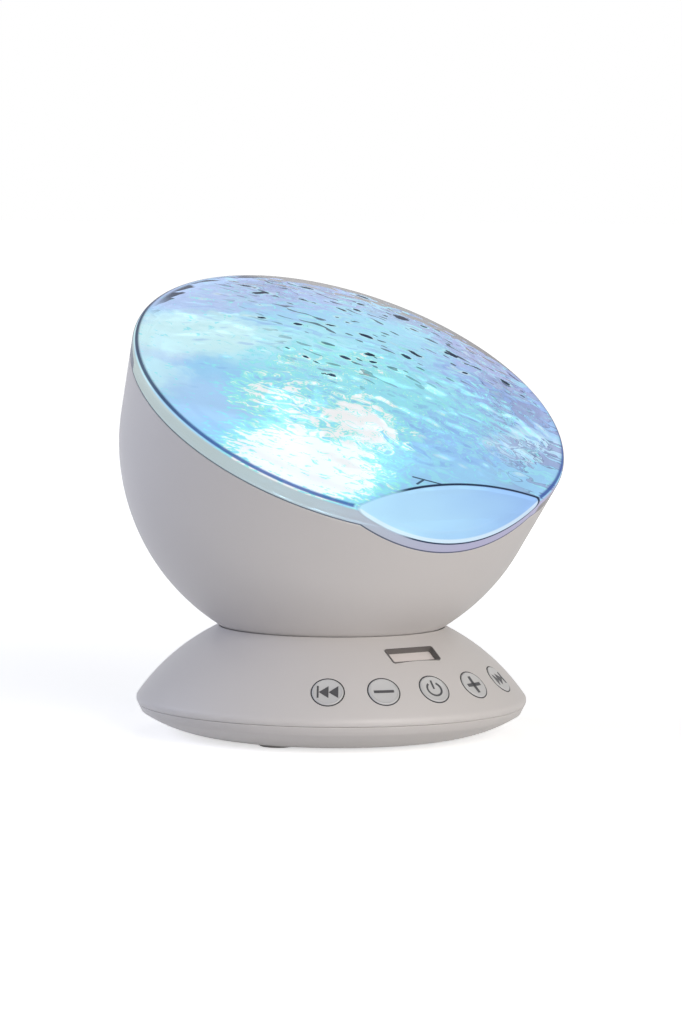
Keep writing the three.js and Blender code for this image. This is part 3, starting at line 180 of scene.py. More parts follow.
# The base cover: one moulding of pale warm-grey ABS, a rounded cone with a dished seat for the
# head and a post in its middle. It has holes for five keys, the receiver's window and the sockets.
MM = 0.001
FULL_TURN = 2 * math.pi
BASE_RADIUS = 53
BASE_WALL = 2.2
NECK_RADIUS = 30.8
PIVOT = (0, 78.5)  # the ball's centre, as radius and height
SEAT_RADIUS = 58.3
SEAT_WALL = 2.5
SLOPE_CENTRE = (5.9993, -22.3218)
SLOPE_RADIUS = 57
SLOPE_INSET = 1  # how far the panel and the bosses reach into the cover's wall
THROAT_RADIUS = 27.55  # where the seat and the slope part inside
EDGE_CENTRE = (51, 9.3)
EDGE_RADIUS = 2
SEAM_HEIGHT = 8.2
SKIRT_INSIDE = 50.2
POST_WIDTH = 7
POST_TOP = 23.1
POST_FOOT = 14.3
POST_FOOT_RADIUS = 4.6
POST_MEETS = 19  # the height where the post stands on its round foot
KEY_RING = 47.6
KEY_RADIUS = 4.15
KEY_GAP = 0.3
KEY_PITCH = 14.8 / KEY_RING
KEY_COUNT = 5
WINDOW_RING = 37.9
WINDOW = (15.4, 5.6)
WINDOW_CORNER = 0.7
PANEL_FACE = 48
PANEL_HALF_WIDTH = 15.5
PANEL_WALL = 2.2
PANEL_DEEP = 7.2
PANEL_BOTTOM = 9.4
SOCKET_GAP = 0.3
SOCKET_FROM_MIDDLE = 7.5
POWER_SOCKET = (8.9, 3.2)
POWER_HEIGHT = 11.7
AUDIO_NOSE = 2.4
AUDIO_HEIGHT = 12.6
BOSS_RING = 33
BOSS_RADIUS = 3.2
BOSS_LOW = 5.1
BOSS_TOP = 24
HOUSING_COLOUR = "#c9c5c3"
WORN_COLOUR = "#fffdfa"
ROUND_STEPS = 256
COLOURS = {"data_type": "RGBA"}
SHARP_ANGLE = math.radians(32)


def arc(centre, radius, start, end, step=2.0):
    """Points of an arc in the plane of radius and height, its angles in degrees."""
    count = max(2, math.ceil(abs(end - start) / step))
    angles = [math.radians(start + (end - start) * i / count) for i in range(count + 1)]
    return [(centre[0] + radius * math.cos(a), centre[1] + radius * math.sin(a)) for a in angles]


def angle_of(centre, point):
    return math.degrees(math.atan2(point[1] - centre[1], point[0] - centre[0]))


def piece_of(name, mesh):
    piece = bpy.data.objects.new(name, mesh)
    scene.collection.objects.link(piece)
    return piece


def piece_from(name, form):
    """A piece of a finished bmesh, its faces turned outwards."""
    bmesh.ops.recalc_face_normals(form, faces=form.faces)
    mesh = bpy.data.meshes.new(name)
    form.to_mesh(mesh)
    form.free()
    return piece_of(name, mesh)


def circle(radius, count):
    """Points round a circle, from +X on."""
    angles = [FULL_TURN * i / count for i in range(count)]
    return [(radius * math.cos(a), radius * math.sin(a)) for a in angles]


def turned(name, profile, steps=ROUND_STEPS):
    """A closed profile of (radius, height), turned round the axis as on a lathe."""
    form = bmesh.new()
    rings = []
    for radius, height in profile:
        if radius < 1e-6:
            rings.append([form.verts.new((0, 0, height))])
        else:
            rings.append([form.verts.new((x, y, height)) for x, y in circle(radius, steps)])
    if len(rings[0]) > 1 or len(rings[-1]) > 1:
        rings.append(rings[0])
    for low, high in zip(rings, rings[1:]):
        if len(low) == 1 and len(high) == 1:
            continue
        for i in range(steps):
            j = (i + 1) % steps
            if len(low) == 1:
                form.faces.new((low[0], high[j], high[i]))
            elif len(high) == 1:
                form.faces.new((low[i], low[j], high[0]))
            else:
                form.faces.new((low[i], low[j], high[j], high[i]))
    return piece_from(name, form)


def slab(name, outline, low, high):
    """A flat outline of (x, y), raised from low to high."""
    form = bmesh.new()
    foot = [form.verts.new((x, y, low)) for x, y in outline]
    head = [form.verts.new((x, y, high)) for x, y in outline]
    count = len(outline)
    form.faces.new(foot[::-1])
    form.faces.new(head)
    for i in range(count):
        j = (i + 1) % count
        form.faces.new((foot[i], foot[j], head[j], head[i]))
    return piece_from(name, form)


def box(name, width, depth, low, high, middle=(0, 0)):
    x, y = middle
    w, d = width / 2, depth / 2
    return slab(name, [(x - w, y - d), (x + w, y - d), (x + w, y + d), (x - w, y + d)], low, high)


def rounded(width, depth, corner, steps=6):
    """The outline of a rectangle with round corners."""
    w, d = width / 2 - corner, depth / 2 - corner
    points = []
    for x, y, start in ((w, d, 0), (-w, d, 90), (-w, -d, 180), (w, -d, 270)):
        points += arc((x, y), corner, start, start + 90, 90 / steps)
    return points


def moved(piece, matrix):
    piece.data.transform(matrix)
    if matrix.determinant() < 0:
        piece.data.flip_normals()
    return piece


def settled(piece):
    """Turns the modifiers' result into a plain mesh."""
    bpy.context.view_layer.update()
    result = piece.evaluated_get(bpy.context.evaluated_depsgraph_get())
    mesh = bpy.data.meshes.new_from_object(result)
    piece.modifiers.clear()
    piece.data = mesh
    mesh.name = piece.name
    return piece


def worked(piece, tools, operation="DIFFERENCE"):
    """Cuts the tools from a piece, or joins them to it, one after the other."""
    for tool in tools:
        step = piece.modifiers.new("work", "BOOLEAN")
        step.operation = operation
        step.solver = "MANIFOLD"
        step.object = tool
        settled(piece)
        bpy.data.objects.remove(tool)
    return piece


def finished(piece, material, body, matrix=None, replaces=(), sharp=SHARP_ANGLE):
    """Brings a piece into the frame, in metres, smooths it and fixes it to its body."""
    piece.data.transform(Matrix.Scale(MM, 4) @ (matrix or Matrix.Identity(4)))
    piece.data.materials.clear()
    piece.data.materials.append(material)
    piece.data.polygons.foreach_set("material_index", [0] * len(piece.data.polygons))
    piece.data.shade_smooth()
    piece.data.set_sharp_from_angle(angle=sharp)
    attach(piece, body)
    if replaces:
        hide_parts(*replaces)
    return piece


def slope_height(ring):
    return SLOPE_CENTRE[1] + math.sqrt(SLOPE_RADIUS ** 2 - (ring - SLOPE_CENTRE[0]) ** 2)


def on_slope(ring, turn_from_front):
    """Where a thing drawn flat sits on the cone: +Z out of the surface, +X along the ring."""
    lift = math.radians(angle_of(SLOPE_CENTRE, (ring, slope_height(ring))))
    return (
        Matrix.Rotation(turn_from_front, 4, "Z")
        @ Matrix.Translation((0, -ring, slope_height(ring)))
        @ Matrix.Rotation(math.pi / 2 - lift, 4, "X")
    )


def moulded_plastic(name, colour, roughness, grain=0.35, grain_depth=0.012, mottle=0.03,
                    edge_wear=0.0):
    """Moulded plastic from a spark-eroded tool: a fine satin grain, a faint unevenness of colour
    and, on the outer pieces, edges rubbed a little paler and smoother by handling. The grain and
    its depth are in millimetres, a few times coarser than the real grain, so that it shows."""
    made, tree = blank_material(name)
    place = node(tree, "TexCoord").outputs["Object"]
    fine = node(tree, "TexNoise", None, {
        "Vector": place, "Scale": 1 / (grain * MM), "Detail": 3.0, "Roughness": 0.6,
    })
    cloud = node(tree, "TexNoise", None, {"Vector": place, "Scale": 1 / (22 * MM), "Detail": 2.0})
    tone = [c * (1 - mottle) for c in linear(colour)[:3]] + [1.0]
    paint = node(tree, "Mix", COLOURS, {"Factor": cloud.outputs["Fac"], 6: linear(colour), 7: tone})
    sheen = node(tree, "MapRange", None, [
        fine.outputs["Fac"], 0.3, 0.7, roughness - 0.05, roughness + 0.05,
    ])
    painted, polish = paint.outputs[2], sheen.outputs[0]
    if edge_wear:
        eased = node(tree, "Bevel", {"samples": 4}, {"Radius": 0.5 * MM})
        square = node(tree, "NewGeometry").outputs["Normal"]
        alike = node(tree, "VectorMath", "DOT_PRODUCT", [eased.outputs[0], square])
        rub = node(tree, "MapRange", None, {
            "Value": alike.outputs["Value"], "From Min": 0.99, "From Max": 0.86,
            "To Max": edge_wear,
        }).outputs[0]
        rub = node(tree, "Math", "MULTIPLY", [rub, fine.outputs["Fac"]]).outputs[0]
        painted = node(tree, "Mix", COLOURS, {
            "Factor": rub, 6: painted, 7: linear(WORN_COLOUR),
        }).outputs[2]
        polish = node(tree, "Math", "MULTIPLY_ADD", [rub, -0.5, polish]).outputs[0]
    relief = node(tree, "Bump", None, {
        "Height": fine.outputs["Fac"], "Strength": 0.25, "Distance": grain_depth * MM,
    })
    body = node(tree, "BsdfPrincipled", None, {
        "Base Color": painted, "Roughness": polish, "Normal": relief.outputs[0], "IOR": 1.5,
    })
    node(tree, "OutputMaterial", None, {"Surface": body.outputs[0]})
    return made


# Spark-eroded ABS: it looks dry and softly satin, with broad highlights and slightly worn edges.
housing_plastic = moulded_plastic("warm_grey_abs_satin", HOUSING_COLOUR, 0.48, edge_wear=0.35)


def new_group(name, **wanted):
    """Geometry nodes that take and give a geometry, with more inputs by their sockets' kind."""
    group = bpy.data.node_groups.new(name, "GeometryNodeTree")
    for kind, labels in {"Geometry": ["Geometry"], **wanted}.items():
        for label in labels:
            group.interface.new_socket(label, in_out="INPUT", socket_type="NodeSocket" + kind)
    group.interface.new_socket("Geometry", in_out="OUTPUT", socket_type="NodeSocketGeometry")
    return group, node(group, "NodeGroupInput").outputs


def completed(group, geometry, finish):
    """Ends a group: its geometry made real, with a material set."""
    real = node(group, "GeometryNodeRealizeInstances", None, [geometry])
    painted = node(group, "GeometryNodeSetMaterial", None, {"Geometry": real, "Material": finish})
    node(group, "NodeGroupOutput", None, [painted])
    return group


def ring_copies():
    """Geometry nodes that set copies of a piece round a ring, each turned with its place."""
    group, given = new_group(
        "copies_round_a_ring", Object=["Piece"], Int=["Count"],
        Float=["Radius", "First Turn", "Pitch"], Material=["Finish"],
    )
    number = node(group, "GeometryNodeInputIndex").outputs[0]
    swing = node(group, "Math", "MULTIPLY_ADD", [number, given["Pitch"], given["First Turn"]])
    across = node(group, "Math", "COSINE", [swing])
    along = node(group, "Math", "SINE", [swing])
    way = node(group, "CombineXYZ", None, {"X": across, "Y": along})
    place = node(group, "VectorMath", "SCALE", {0: way, "Scale": given["Radius"]})
    spots = node(group, "GeometryNodePoints", None, {"Count": given["Count"], "Position": place})
    facing = node(group, "CombineXYZ", None, {"Z": swing})
    shape = node(group, "GeometryNodeObjectInfo", None, {"Object": given["Piece"]})
    all_set = node(group, "GeometryNodeInstanceOnPoints", None, {
        "Points": spots, "Instance": shape.outputs["Geometry"], "Rotation": facing,
    })
    return completed(group, all_set, given["Finish"])


def grown(name, group, values, start=None):
    """A piece that a node group makes, as a plain mesh. Values go to the group's inputs by name."""
    piece = start or piece_of(name, bpy.data.meshes.new(name))
    step = piece.modifiers.new(name, "NODES")
    step.node_group = group
    inputs = [item for item in group.interface.items_tree if item.in_out == "INPUT"]
    keys = {item.name: item.identifier for item in inputs}
    for label, value in values.items():
        step[keys[label]] = value
    return settled(piece)


round_a_ring = ring_copies()


def copies(name, pattern, count, radius, first, pitch, material):
    """Copies of a pattern piece round a ring. The pattern itself is used up."""
    result = grown(name, round_a_ring, {
        "Piece": pattern, "Count": count, "Radius": float(radius), "First Turn": float(first),
        "Pitch": float(pitch), "Finish": material,
    })
    bpy.data.objects.remove(pattern)
    return result


neck_edge = (NECK_RADIUS, PIVOT[1] - math.sqrt(SEAT_RADIUS ** 2 - NECK_RADIUS ** 2))
slope_start = angle_of(SLOPE_CENTRE, neck_edge)
slope_end = angle_of(SLOPE_CENTRE, EDGE_CENTRE)
seam_angle = math.degrees(math.asin((SEAM_HEIGHT - EDGE_CENTRE[1]) / EDGE_RADIUS))
inside_radius = SLOPE_RADIUS - BASE_WALL
skirt_top = (
    SKIRT_INSIDE,
    SLOPE_CENTRE[1] + math.sqrt(inside_radius ** 2 - (SKIRT_INSIDE - SLOPE_CENTRE[0]) ** 2),
)
under_seat = SEAT_RADIUS + SEAT_WALL
throat = (THROAT_RADIUS, PIVOT[1] - math.sqrt(under_seat ** 2 - THROAT_RADIUS ** 2))
throat_angle = angle_of(SLOPE_CENTRE, throat)
cover_profile = (
    [(0, PIVOT[1] - SEAT_RADIUS)]
    + arc(PIVOT, SEAT_RADIUS, -90, angle_of(PIVOT, neck_edge))[1:]
    + arc(SLOPE_CENTRE, SLOPE_RADIUS, slope_start, slope_end)[1:]
    + arc(EDGE_CENTRE, EDGE_RADIUS, slope_end, seam_angle, 8)[1:]
    + [(SKIRT_INSIDE, SEAM_HEIGHT)]
    + arc(SLOPE_CENTRE, inside_radius, angle_of(SLOPE_CENTRE, skirt_top), throat_angle)
    + arc(PIVOT, under_seat, angle_of(PIVOT, throat), -90)[1:-1]
    + [(0, PIVOT[1] - under_seat)]
)
base_cover = turned("base_shell", cover_profile)
reach = SLOPE_RADIUS - SLOPE_INSET
under_edge = BASE_RADIUS - SLOPE_INSET
under_profile = [(0, 0), (under_edge, 0), (under_edge, EDGE_CENTRE[1])]
under_profile += arc(SLOPE_CENTRE, reach, slope_end, 90)[1:-1] + [(0, SLOPE_CENTRE[1] + reach)]
under_slope = turned("under_slope", under_profile, 64)
panel = box("panel", 2 * (PANEL_HALF_WIDTH + PANEL_WALL), PANEL_DEEP, SEAM_HEIGHT, 40,
            (0, PANEL_FACE - PANEL_WALL + PANEL_DEEP / 2))
worked(panel, [under_slope], "INTERSECT")
boss_profile = [(0, BOSS_LOW), (BOSS_RADIUS, BOSS_LOW), (BOSS_RADIUS, BOSS_TOP), (0, BOSS_TOP)]
bosses = [
    copies(name, turned("boss", boss_profile, 32), 2, BOSS_RING, math.radians(start),
           math.radians(60), housing_plastic)
    for name, start in (("bosses", -30), ("bosses_left", 150))
]
post = box("post", POST_WIDTH, POST_WIDTH, POST_MEETS, POST_TOP)
foot_top = POST_MEETS + 0.2
post_foot = turned("post_foot", [(0, POST_FOOT), (POST_FOOT_RADIUS, POST_FOOT),
                                 (POST_FOOT_RADIUS, foot_top), (0, foot_top)], 48)
worked(base_cover, [panel, *bosses, post, post_foot], "UNION")

pocket = slab("pocket", rounded(2 * PANEL_HALF_WIDTH, 40, 1.2), -20, 20)
behind_face = Matrix.Translation((0, PANEL_FACE + 20, PANEL_BOTTOM + 20))
moved(pocket, behind_face @ Matrix.Rotation(math.pi / 2, 4, "X"))
window_slot = slab("window_slot", rounded(*WINDOW, WINDOW_CORNER), -10, 10)
moved(window_slot, on_slope(WINDOW_RING, 0))
hole_radius = KEY_RADIUS + KEY_GAP
hole_profile = [  # its mouth is rounded
    (0, -8), (hole_radius, -8), (hole_radius, -0.22), (hole_radius + 0.1, -0.04),
    (hole_radius + 0.3, 0.08), (hole_radius + 0.3, 6), (0, 6),
]
hole = turned("key_hole", hole_profile, 64)
slope_matrix = Matrix.Translation((-KEY_RING, 0, 0)) @ on_slope(KEY_RING, math.pi / 2)
moved(hole, slope_matrix)
first_key = -math.pi / 2 - KEY_PITCH * (KEY_COUNT // 2)
key_holes = copies("key_holes", hole, KEY_COUNT, KEY_RING, first_key, KEY_PITCH, housing_plastic)
faces_back = Matrix.Rotation(-math.pi / 2, 4, "X")
power_outline = rounded(*(side + 2 * SOCKET_GAP for side in POWER_SOCKET), 1.2)
power_slot = slab("power_slot", power_outline, 30, 60)
moved(power_slot, Matrix.Translation((-SOCKET_FROM_MIDDLE, 0, POWER_HEIGHT)) @ faces_back)
audio_radius = AUDIO_NOSE + SOCKET_GAP
audio_hole = turned("audio_hole", [(0, 30), (audio_radius, 30), (audio_radius, 60), (0, 60)], 48)
moved(audio_hole, Matrix.Translation((SOCKET_FROM_MIDDLE, 0, AUDIO_HEIGHT)) @ faces_back)
worked(base_cover, [pocket, window_slot, key_holes, power_slot, audio_hole])
finished(base_cover, housing_plastic, "base", replaces=["base_cover"])


# The base plate: the dished underside in the same ABS, closed by a seam under the widest edge and
# held by four screws. It has a fine step near its foot, a grille under the speaker and recesses for
# the feet.
PLATE_FLAT = 37.9
PLATE_LOW = 0.6
PLATE_TOP = 2.8
PLATE_ARC_RADIUS = 36
PLATE_FROM, PLATE_TO = 9.5, 33
GROOVE_ANGLE = 16
GROOVE_DEPTH = 0.35
PLATE_INSIDE = 1.7  # a height inside the plate's floor, where what stands on it begins
GRILLE_PITCH = 5.2
GRILLE_HOLE = 1.5
SPEAKER_COLLAR = (20.3, 21.7)
SHELF_RADIUS = 45.1  # about the slope's own centre
SHELF_WALL = 2
SHELF_MARGIN = 4.065  # degrees of that arc past the keys and the window
SHELF_HALF_TURN = math.radians(44.48)
BOARD_POST = (19, 30.5)
FOOT_TURNS = [math.radians(a) for a in (-150, -30, 30, 150)]

bend_centre = (PLATE_FLAT - PLATE_ARC_RADIUS * math.sin(math.radians(PLATE_FROM)),
               PLATE_LOW + PLATE_ARC_RADIUS * math.cos(math.radians(PLATE_FROM)))
groove_foot = arc(bend_centre, PLATE_ARC_RADIUS - GROOVE_DEPTH, GROOVE_ANGLE - 89.95,
                  GROOVE_ANGLE - 89.6, 1)
groove = [
    arc(bend_centre, PLATE_ARC_RADIUS, PLATE_FROM - 90, GROOVE_ANGLE - 90, 1.5)[-1],
    groove_foot[0], groove_foot[-1],
]
plate_profile = (
    [(0, PLATE_LOW)]
    + arc(bend_centre, PLATE_ARC_RADIUS, PLATE_FROM - 90, GROOVE_ANGLE - 90, 1.5)[:-1]
    + groove
    + arc(bend_centre, PLATE_ARC_RADIUS, GROOVE_ANGLE - 89.5, PLATE_TO - 90, 1.5)
    + [(BASE_RADIUS - 0.42, 7.96), (BASE_RADIUS - 0.6, 8.1)]  # its edge, eased under the seam
    + [(49.9, 8.1), (49.9, 9.6), (48.5, 9.6)]  # the lip inside the cover's skirt
    + arc(bend_centre, PLATE_ARC_RADIUS - BASE_WALL, PLATE_TO - 90, -86.0, 2)
    + [(0, PLATE_TOP)]
)
base_plate = turned("base_plate_dish", plate_profile)
collar_in, collar_out = SPEAKER_COLLAR
collar_profile = [(collar_in, 2), (collar_out, 2), (collar_out, 5.4), (collar_in, 5.4)]
collar = turned("collar", collar_profile, 96)
shelf_from, shelf_to = (angle_of(SLOPE_CENTRE, (ring, slope_height(ring))) + side * SHELF_MARGIN
                        for ring, side in ((KEY_RING, -1), (WINDOW_RING, 1)))
shelf_top = arc(SLOPE_CENTRE, SHELF_RADIUS, shelf_from, shelf_to)
shelf = turned(
    "shelf", shelf_top + arc(SLOPE_CENTRE, SHELF_RADIUS - SHELF_WALL, shelf_to, shelf_from),
)
foot_out, foot_high = shelf_top[0]
foot_in = foot_out - SHELF_WALL
leg = turned("shelf_leg", [(foot_in, PLATE_INSIDE), (foot_out, PLATE_INSIDE),
                           (foot_out, foot_high), (foot_in, foot_high)])
worked(shelf, [leg], "UNION")
wedge_corners = [(2 * BASE_RADIUS * math.sin(a), -2 * BASE_RADIUS * math.cos(a))
                 for a in (-SHELF_HALF_TURN, 0, SHELF_HALF_TURN)]
worked(shelf, [slab("wedge", [(0, 0)] + wedge_corners, -10, 60)], "INTERSECT")
worked(base_plate, [collar, shelf], "UNION")
bored_post = [(0, 2.8), (0, PLATE_INSIDE), (2.6, PLATE_INSIDE), (2.6, 8.3), (1.5, 8.3), (1.5, 2.8)]
for side in (-1, 1):
    at = Matrix.Translation((side * BOARD_POST[0], BOARD_POST[1], 0))
    worked(base_plate, [moved(turned("board_post", bored_post, 32), at)], "UNION")
foot_boss = [(0, PLATE_INSIDE), (5.4, PLATE_INSIDE), (5.4, 5), (0, 5)]
foot_recess = [  # for the pad, the screw's head and its thread
    (0, 0), (5.3, 0), (5.3, 1.4), (3.1, 1.4), (3.1, 3.6), (1.7, 3.6), (1.7, 8), (0, 8),
]
for place_turn in FOOT_TURNS:
    at = Matrix.Translation((BOSS_RING * math.cos(place_turn), BOSS_RING * math.sin(place_turn), 0))
    worked(base_plate, [moved(turned("boss", foot_boss, 48), at)], "UNION")
    worked(base_plate, [moved(turned("recess", foot_recess, 48), at)])
for row in (1, 2, 3):
    bore = turned("bore", [(0, -1), (GRILLE_HOLE + 0.25, -1), (GRILLE_HOLE + 0.25, PLATE_LOW),
                           (GRILLE_HOLE, PLATE_LOW + 0.25), (GRILLE_HOLE, 4), (0, 4)], 20)
    holes = copies(
        "grille_row", bore, 6 * row, row * GRILLE_PITCH, 0, FULL_TURN / (6 * row), housing_plastic,
    )
    worked(base_plate, [holes])
finished(base_plate, housing_plastic, "base", replaces=["base_plate"])

# The feet: four soft rubber pads glued in their recesses over the screws, matt and slightly dusty.
# The two on the right are copied as one pair and the two on the left as another.
# Moulded rubber: dead matt, with a coarse grain and dusty blotches.
rubber = moulded_plastic(
    "grey_rubber_matt", "#a6a3a1", 0.82, grain=0.5, grain_depth=0.03, mottle=0.15,
)
pad_profile = [(0, 0), (4.4, 0), (4.82, 0.18), (5, 0.6), (5, 1.3), (0, 1.3)]
pads = copies("rubber_feet", turned("pad", pad_profile, 48), 2, BOSS_RING, FOOT_TURNS[1],
              math.radians(60), rubber)
pads_left = copies("rubber_feet_left", turned("pad", pad_profile, 48), 2, BOSS_RING, FOOT_TURNS[3],
                   math.radians(60), rubber)
worked(pads, [pads_left], "UNION")
finished(pads, rubber, "base", replaces=[f"foot_pad_{i}" for i in (1, 2, 3, 4)])

# The receiver's window: a pale smoked acrylic plug, snapped in from inside and sunk in its slot. A
# thin grey sleeve lines the slot above it, as painted shade on the slot's walls.
WINDOW_DEPTH = 1.9
# Smoked acrylic: pale and almost glossy, so it catches the soft boxes. The sleeve is satin, and
# its dark grey is painted shade for the slot's walls.
window_finish = moulded_plastic(
    "pale_acrylic_window", "#e4dcd9", 0.22, grain=0.8, grain_depth=0.004,
)
window_lens = slab(
    "window_pane", rounded(WINDOW[0] - 0.5, WINDOW[1] - 0.5, 0.5), -3.3, -WINDOW_DEPTH,
)
window_flange = slab("window_flange", rounded(WINDOW[0] + 2.2, WINDOW[1] + 2.2, 0.8), -4.1, -3.2)
worked(window_lens, [window_flange], "UNION")
finished(window_lens, window_finish, "base", on_slope(WINDOW_RING, 0), ["window_lens"])
window_sleeve_painted_shade = moulded_plastic("smoke_grey_window_sleeve", "#666260", 0.5, grain=0.3)
window_sleeve = slab(
    "window_sleeve", rounded(WINDOW[0] - 0.02, WINDOW[1] - 0.02, 0.69), -WINDOW_DEPTH, -0.12,
)
sleeve_bore = slab("sleeve_bore", rounded(WINDOW[0] - 0.5, WINDOW[1] - 0.5, 0.45), -3, 1)
worked(window_sleeve, [sleeve_bore])
finished(window_sleeve, window_sleeve_painted_shade, "base", on_slope(WINDOW_RING, 0))

# The keys: five round caps of cool grey ABS on stems, each with its sign printed in dark grey.
# They sit level with the cone, with a fine dark gap all round.
KEY_PROUD = 0.15
KEY_DISH = 0.22
KEY_FLANGE = 5.15
STEM_LOW = -5.77
STEM_RADIUS = 1.9
FLANGE_HEIGHTS = (-3.7, -2.8)
SIGN_THICK = 0.04
SIGN_COLOUR = "#4a4a4d"
GAP_SHADE_COLOUR = "#2f2f32"
# The caps' finer ABS is cooler and a little glossier than the cover's. The printed ink is slightly
# uneven, and the dark grey round the keys is painted shade for their gaps, matt and dry.
key_plastic = moulded_plastic("cool_grey_abs_keys", "#c3c3c3", 0.42, grain=0.3)
sign_ink = moulded_plastic("dark_grey_pad_print", SIGN_COLOUR, 0.55, grain=0.2, mottle=0.12)
key_gap_painted_shade = moulded_plastic("dark_grey_key_rim", GAP_SHADE_COLOUR, 0.6, grain=0.2)


def dish(radius):
    """Height of the key's shallow dished face."""
    return KEY_PROUD - KEY_DISH * (1 - min(radius / (KEY_RADIUS - 0.4), 1) ** 2)


def bar(x0, y0, x1, y1):
    return [(x0, y0), (x1, y0), (x1, y1), (x0, y1)]


def open_ring(radius, thickness, gap):
    outer = arc((0, 0), radius + thickness / 2, 90 + gap, 450 - gap, 8)
    inner = arc((0, 0), radius - thickness / 2, 450 - gap, 90 + gap, 8)
    return outer + inner


ARROWS = [
    bar(-2.85, -1.9, -2.35, 1.9), [(-2.35, 0), (0.2, -1.9), (0.2, 1.9)],
    [(0.2, 0), (2.75, -1.9), (2.75, 1.9)],
]
SIGNS = {
    "previous": ARROWS,
    "volume_down": [bar(-2.75, -0.4, 2.75, 0.4)],
    "power": [open_ring(2.1, 0.58, 34), bar(-0.28, 0.1, 0.28, 2.75)],
    "volume_up": [bar(-2.7, -0.5, 2.7, 0.5), bar(-0.5, -2.7, 0.5, 2.7)],
    "next": [[(-x, y) for x, y in outline][::-1] for outline in ARROWS],
}
flange_low, flange_high = FLANGE_HEIGHTS
key_profile = (
    [(0, STEM_LOW), (STEM_RADIUS, STEM_LOW), (STEM_RADIUS, flange_low)]
    + [(KEY_FLANGE, flange_low), (KEY_FLANGE, flange_high), (KEY_RADIUS, flange_high)]
    + arc((KEY_RADIUS - 0.35, KEY_PROUD - 0.35), 0.35, 0, 90, 18)
    + [(r, dish(r)) for r in (3.8, 3.2, 2.4, 1.6, 0.8)] + [(0, dish(0))]
)
for number, (name, outlines) in enumerate(SIGNS.items()):
    place = on_slope(KEY_RING, (number - 2) * KEY_PITCH)
    cap = turned(f"{name}_cap", key_profile, 96)
    finished(cap, key_plastic, f"{name}_key", place, [f"key_{name}"], math.radians(50))
    form = bmesh.new()
    for outline in outlines:
        low = [form.verts.new((x, y, dish(math.hypot(x, y)) - 0.05)) for x, y in outline]
        high = [form.verts.new((x, y, dish(math.hypot(x, y)) + SIGN_THICK)) for x, y in outline]
        count = len(outline)
        for corners in tessellate_polygon([[Vector((x, y, 0)) for x, y in outline]]):
            form.faces.new([high[i] for i in corners])
            form.faces.new([low[i] for i in corners[::-1]])
        for i in range(count):
            form.faces.new((low[i], low[(i + 1) % count], high[(i + 1) % count], high[i]))
    sign = piece_from(f"{name}_sign", form)
    finished(sign, sign_ink, f"{name}_key", place)

# The key sleeves: dark grey linings of each key's hole, sunk a little below the cone, as painted
# shade for the gap. It reads as a fine dark ring round the key.
sleeve_in, sleeve_out = KEY_RADIUS + 0.04, hole_radius - 0.005
sleeve_low, sleeve_high = -2.0, -0.07
sleeve = turned("sleeve", [(sleeve_in, sleeve_low), (sleeve_out, sleeve_low),
                           (sleeve_out, sleeve_high), (sleeve_in, sleeve_high)], 96)
moved(sleeve, slope_matrix)
sleeves = copies("key_sleeves", sleeve, KEY_COUNT, KEY_RING, first_key, KEY_PITCH, key_gap_painted_shade)
finished(sleeves, key_gap_painted_shade, "base")


# The head's bowl: one deep moulding in the same ABS, a ball that runs into a straight flare. Its
# rim is level but for the front, where it follows the facet, and a slot underneath takes the post.
HEAD_TILT = math.radians(30.5)
HEAD = Matrix.Translation((0, 0, PIVOT[1])) @ Matrix.Rotation(HEAD_TILT, 4, "X")
HEAD_RADIUS = 58
BOWL_WALL = 2.2
FLARE = math.radians(8)
BOWL_EDGE = 11.3
COVER_RIM = 16.5
FACET_TILT = math.radians(47.6)
FACET_CHORD = 52.789
FACET_EDGE_DEPTH = 2.9
LEDGE_TOP = 1.6
LEDGE_RADIUS = 54.2
HEAD_STEPS = 320
SLOT_FROM, SLOT_TO = -135, -110  # degrees of the ball's arc that the post's middle sweeps
STUD_RING = 26
STUD = (3.2, -14.6)  # radius and height of its top
STUD_BORE = (1.5, -24.6)
BIG = 240


def wall_radius(height, inset=0):
    return (HEAD_RADIUS - inset) / math.cos(FLARE) + height * math.tan(FLARE)


def beyond_facet(depth):
    """Everything in front of the facet's plane, moved into the head by a depth."""
    cutter = box("beyond_facet", BIG, BIG, -BIG / 2, BIG / 2)
    reach = BIG / 2 - depth
    at = (0, -FACET_CHORD - math.sin(FACET_TILT) * reach, COVER_RIM + math.cos(FACET_TILT) * reach)
    return moved(cutter, Matrix.Translation(at) @ Matrix.Rotation(FACET_TILT, 4, "X"))


bowl_profile = (
    [(0, -HEAD_RADIUS)]
    + arc((0, 0), HEAD_RADIUS, -90, -8, 1.5)[1:]
    + [(wall_radius(h), h) for h in (-4, 0, 4, 8, BOWL_EDGE - 0.25)]
    + [(wall_radius(BOWL_EDGE) - 0.25, BOWL_EDGE), (wall_radius(BOWL_EDGE, BOWL_WALL), BOWL_EDGE)]
    + [(wall_radius(LEDGE_TOP, BOWL_WALL), LEDGE_TOP), (LEDGE_RADIUS, LEDGE_TOP)]
    + [(LEDGE_RADIUS, 0.5)]
    + [(wall_radius(-2.4, BOWL_WALL), -2.4)]
    + arc((0, 0), HEAD_RADIUS - BOWL_WALL, -9, -90, 2)[:-1]
    + [(0, -HEAD_RADIUS + BOWL_WALL)]
)
bowl = turned("bowl_shell", bowl_profile, HEAD_STEPS)
slot_half = math.degrees(math.asin((POST_WIDTH / 2 + 0.9) / (HEAD_RADIUS - BOWL_WALL)))
slot_from, slot_to = SLOT_FROM - slot_half, SLOT_TO + slot_half
slot_outline = arc((0, 0), 63, slot_from, slot_to) + arc((0, 0), 50, slot_to, slot_from)
tilt_slot = slab("tilt_slot", slot_outline, -3.8, 3.8)
moved(tilt_slot, Matrix.Rotation(math.pi / 2, 4, "Z") @ Matrix.Rotation(math.pi / 2, 4, "X"))
worked(bowl, [beyond_facet(FACET_EDGE_DEPTH), tilt_slot])
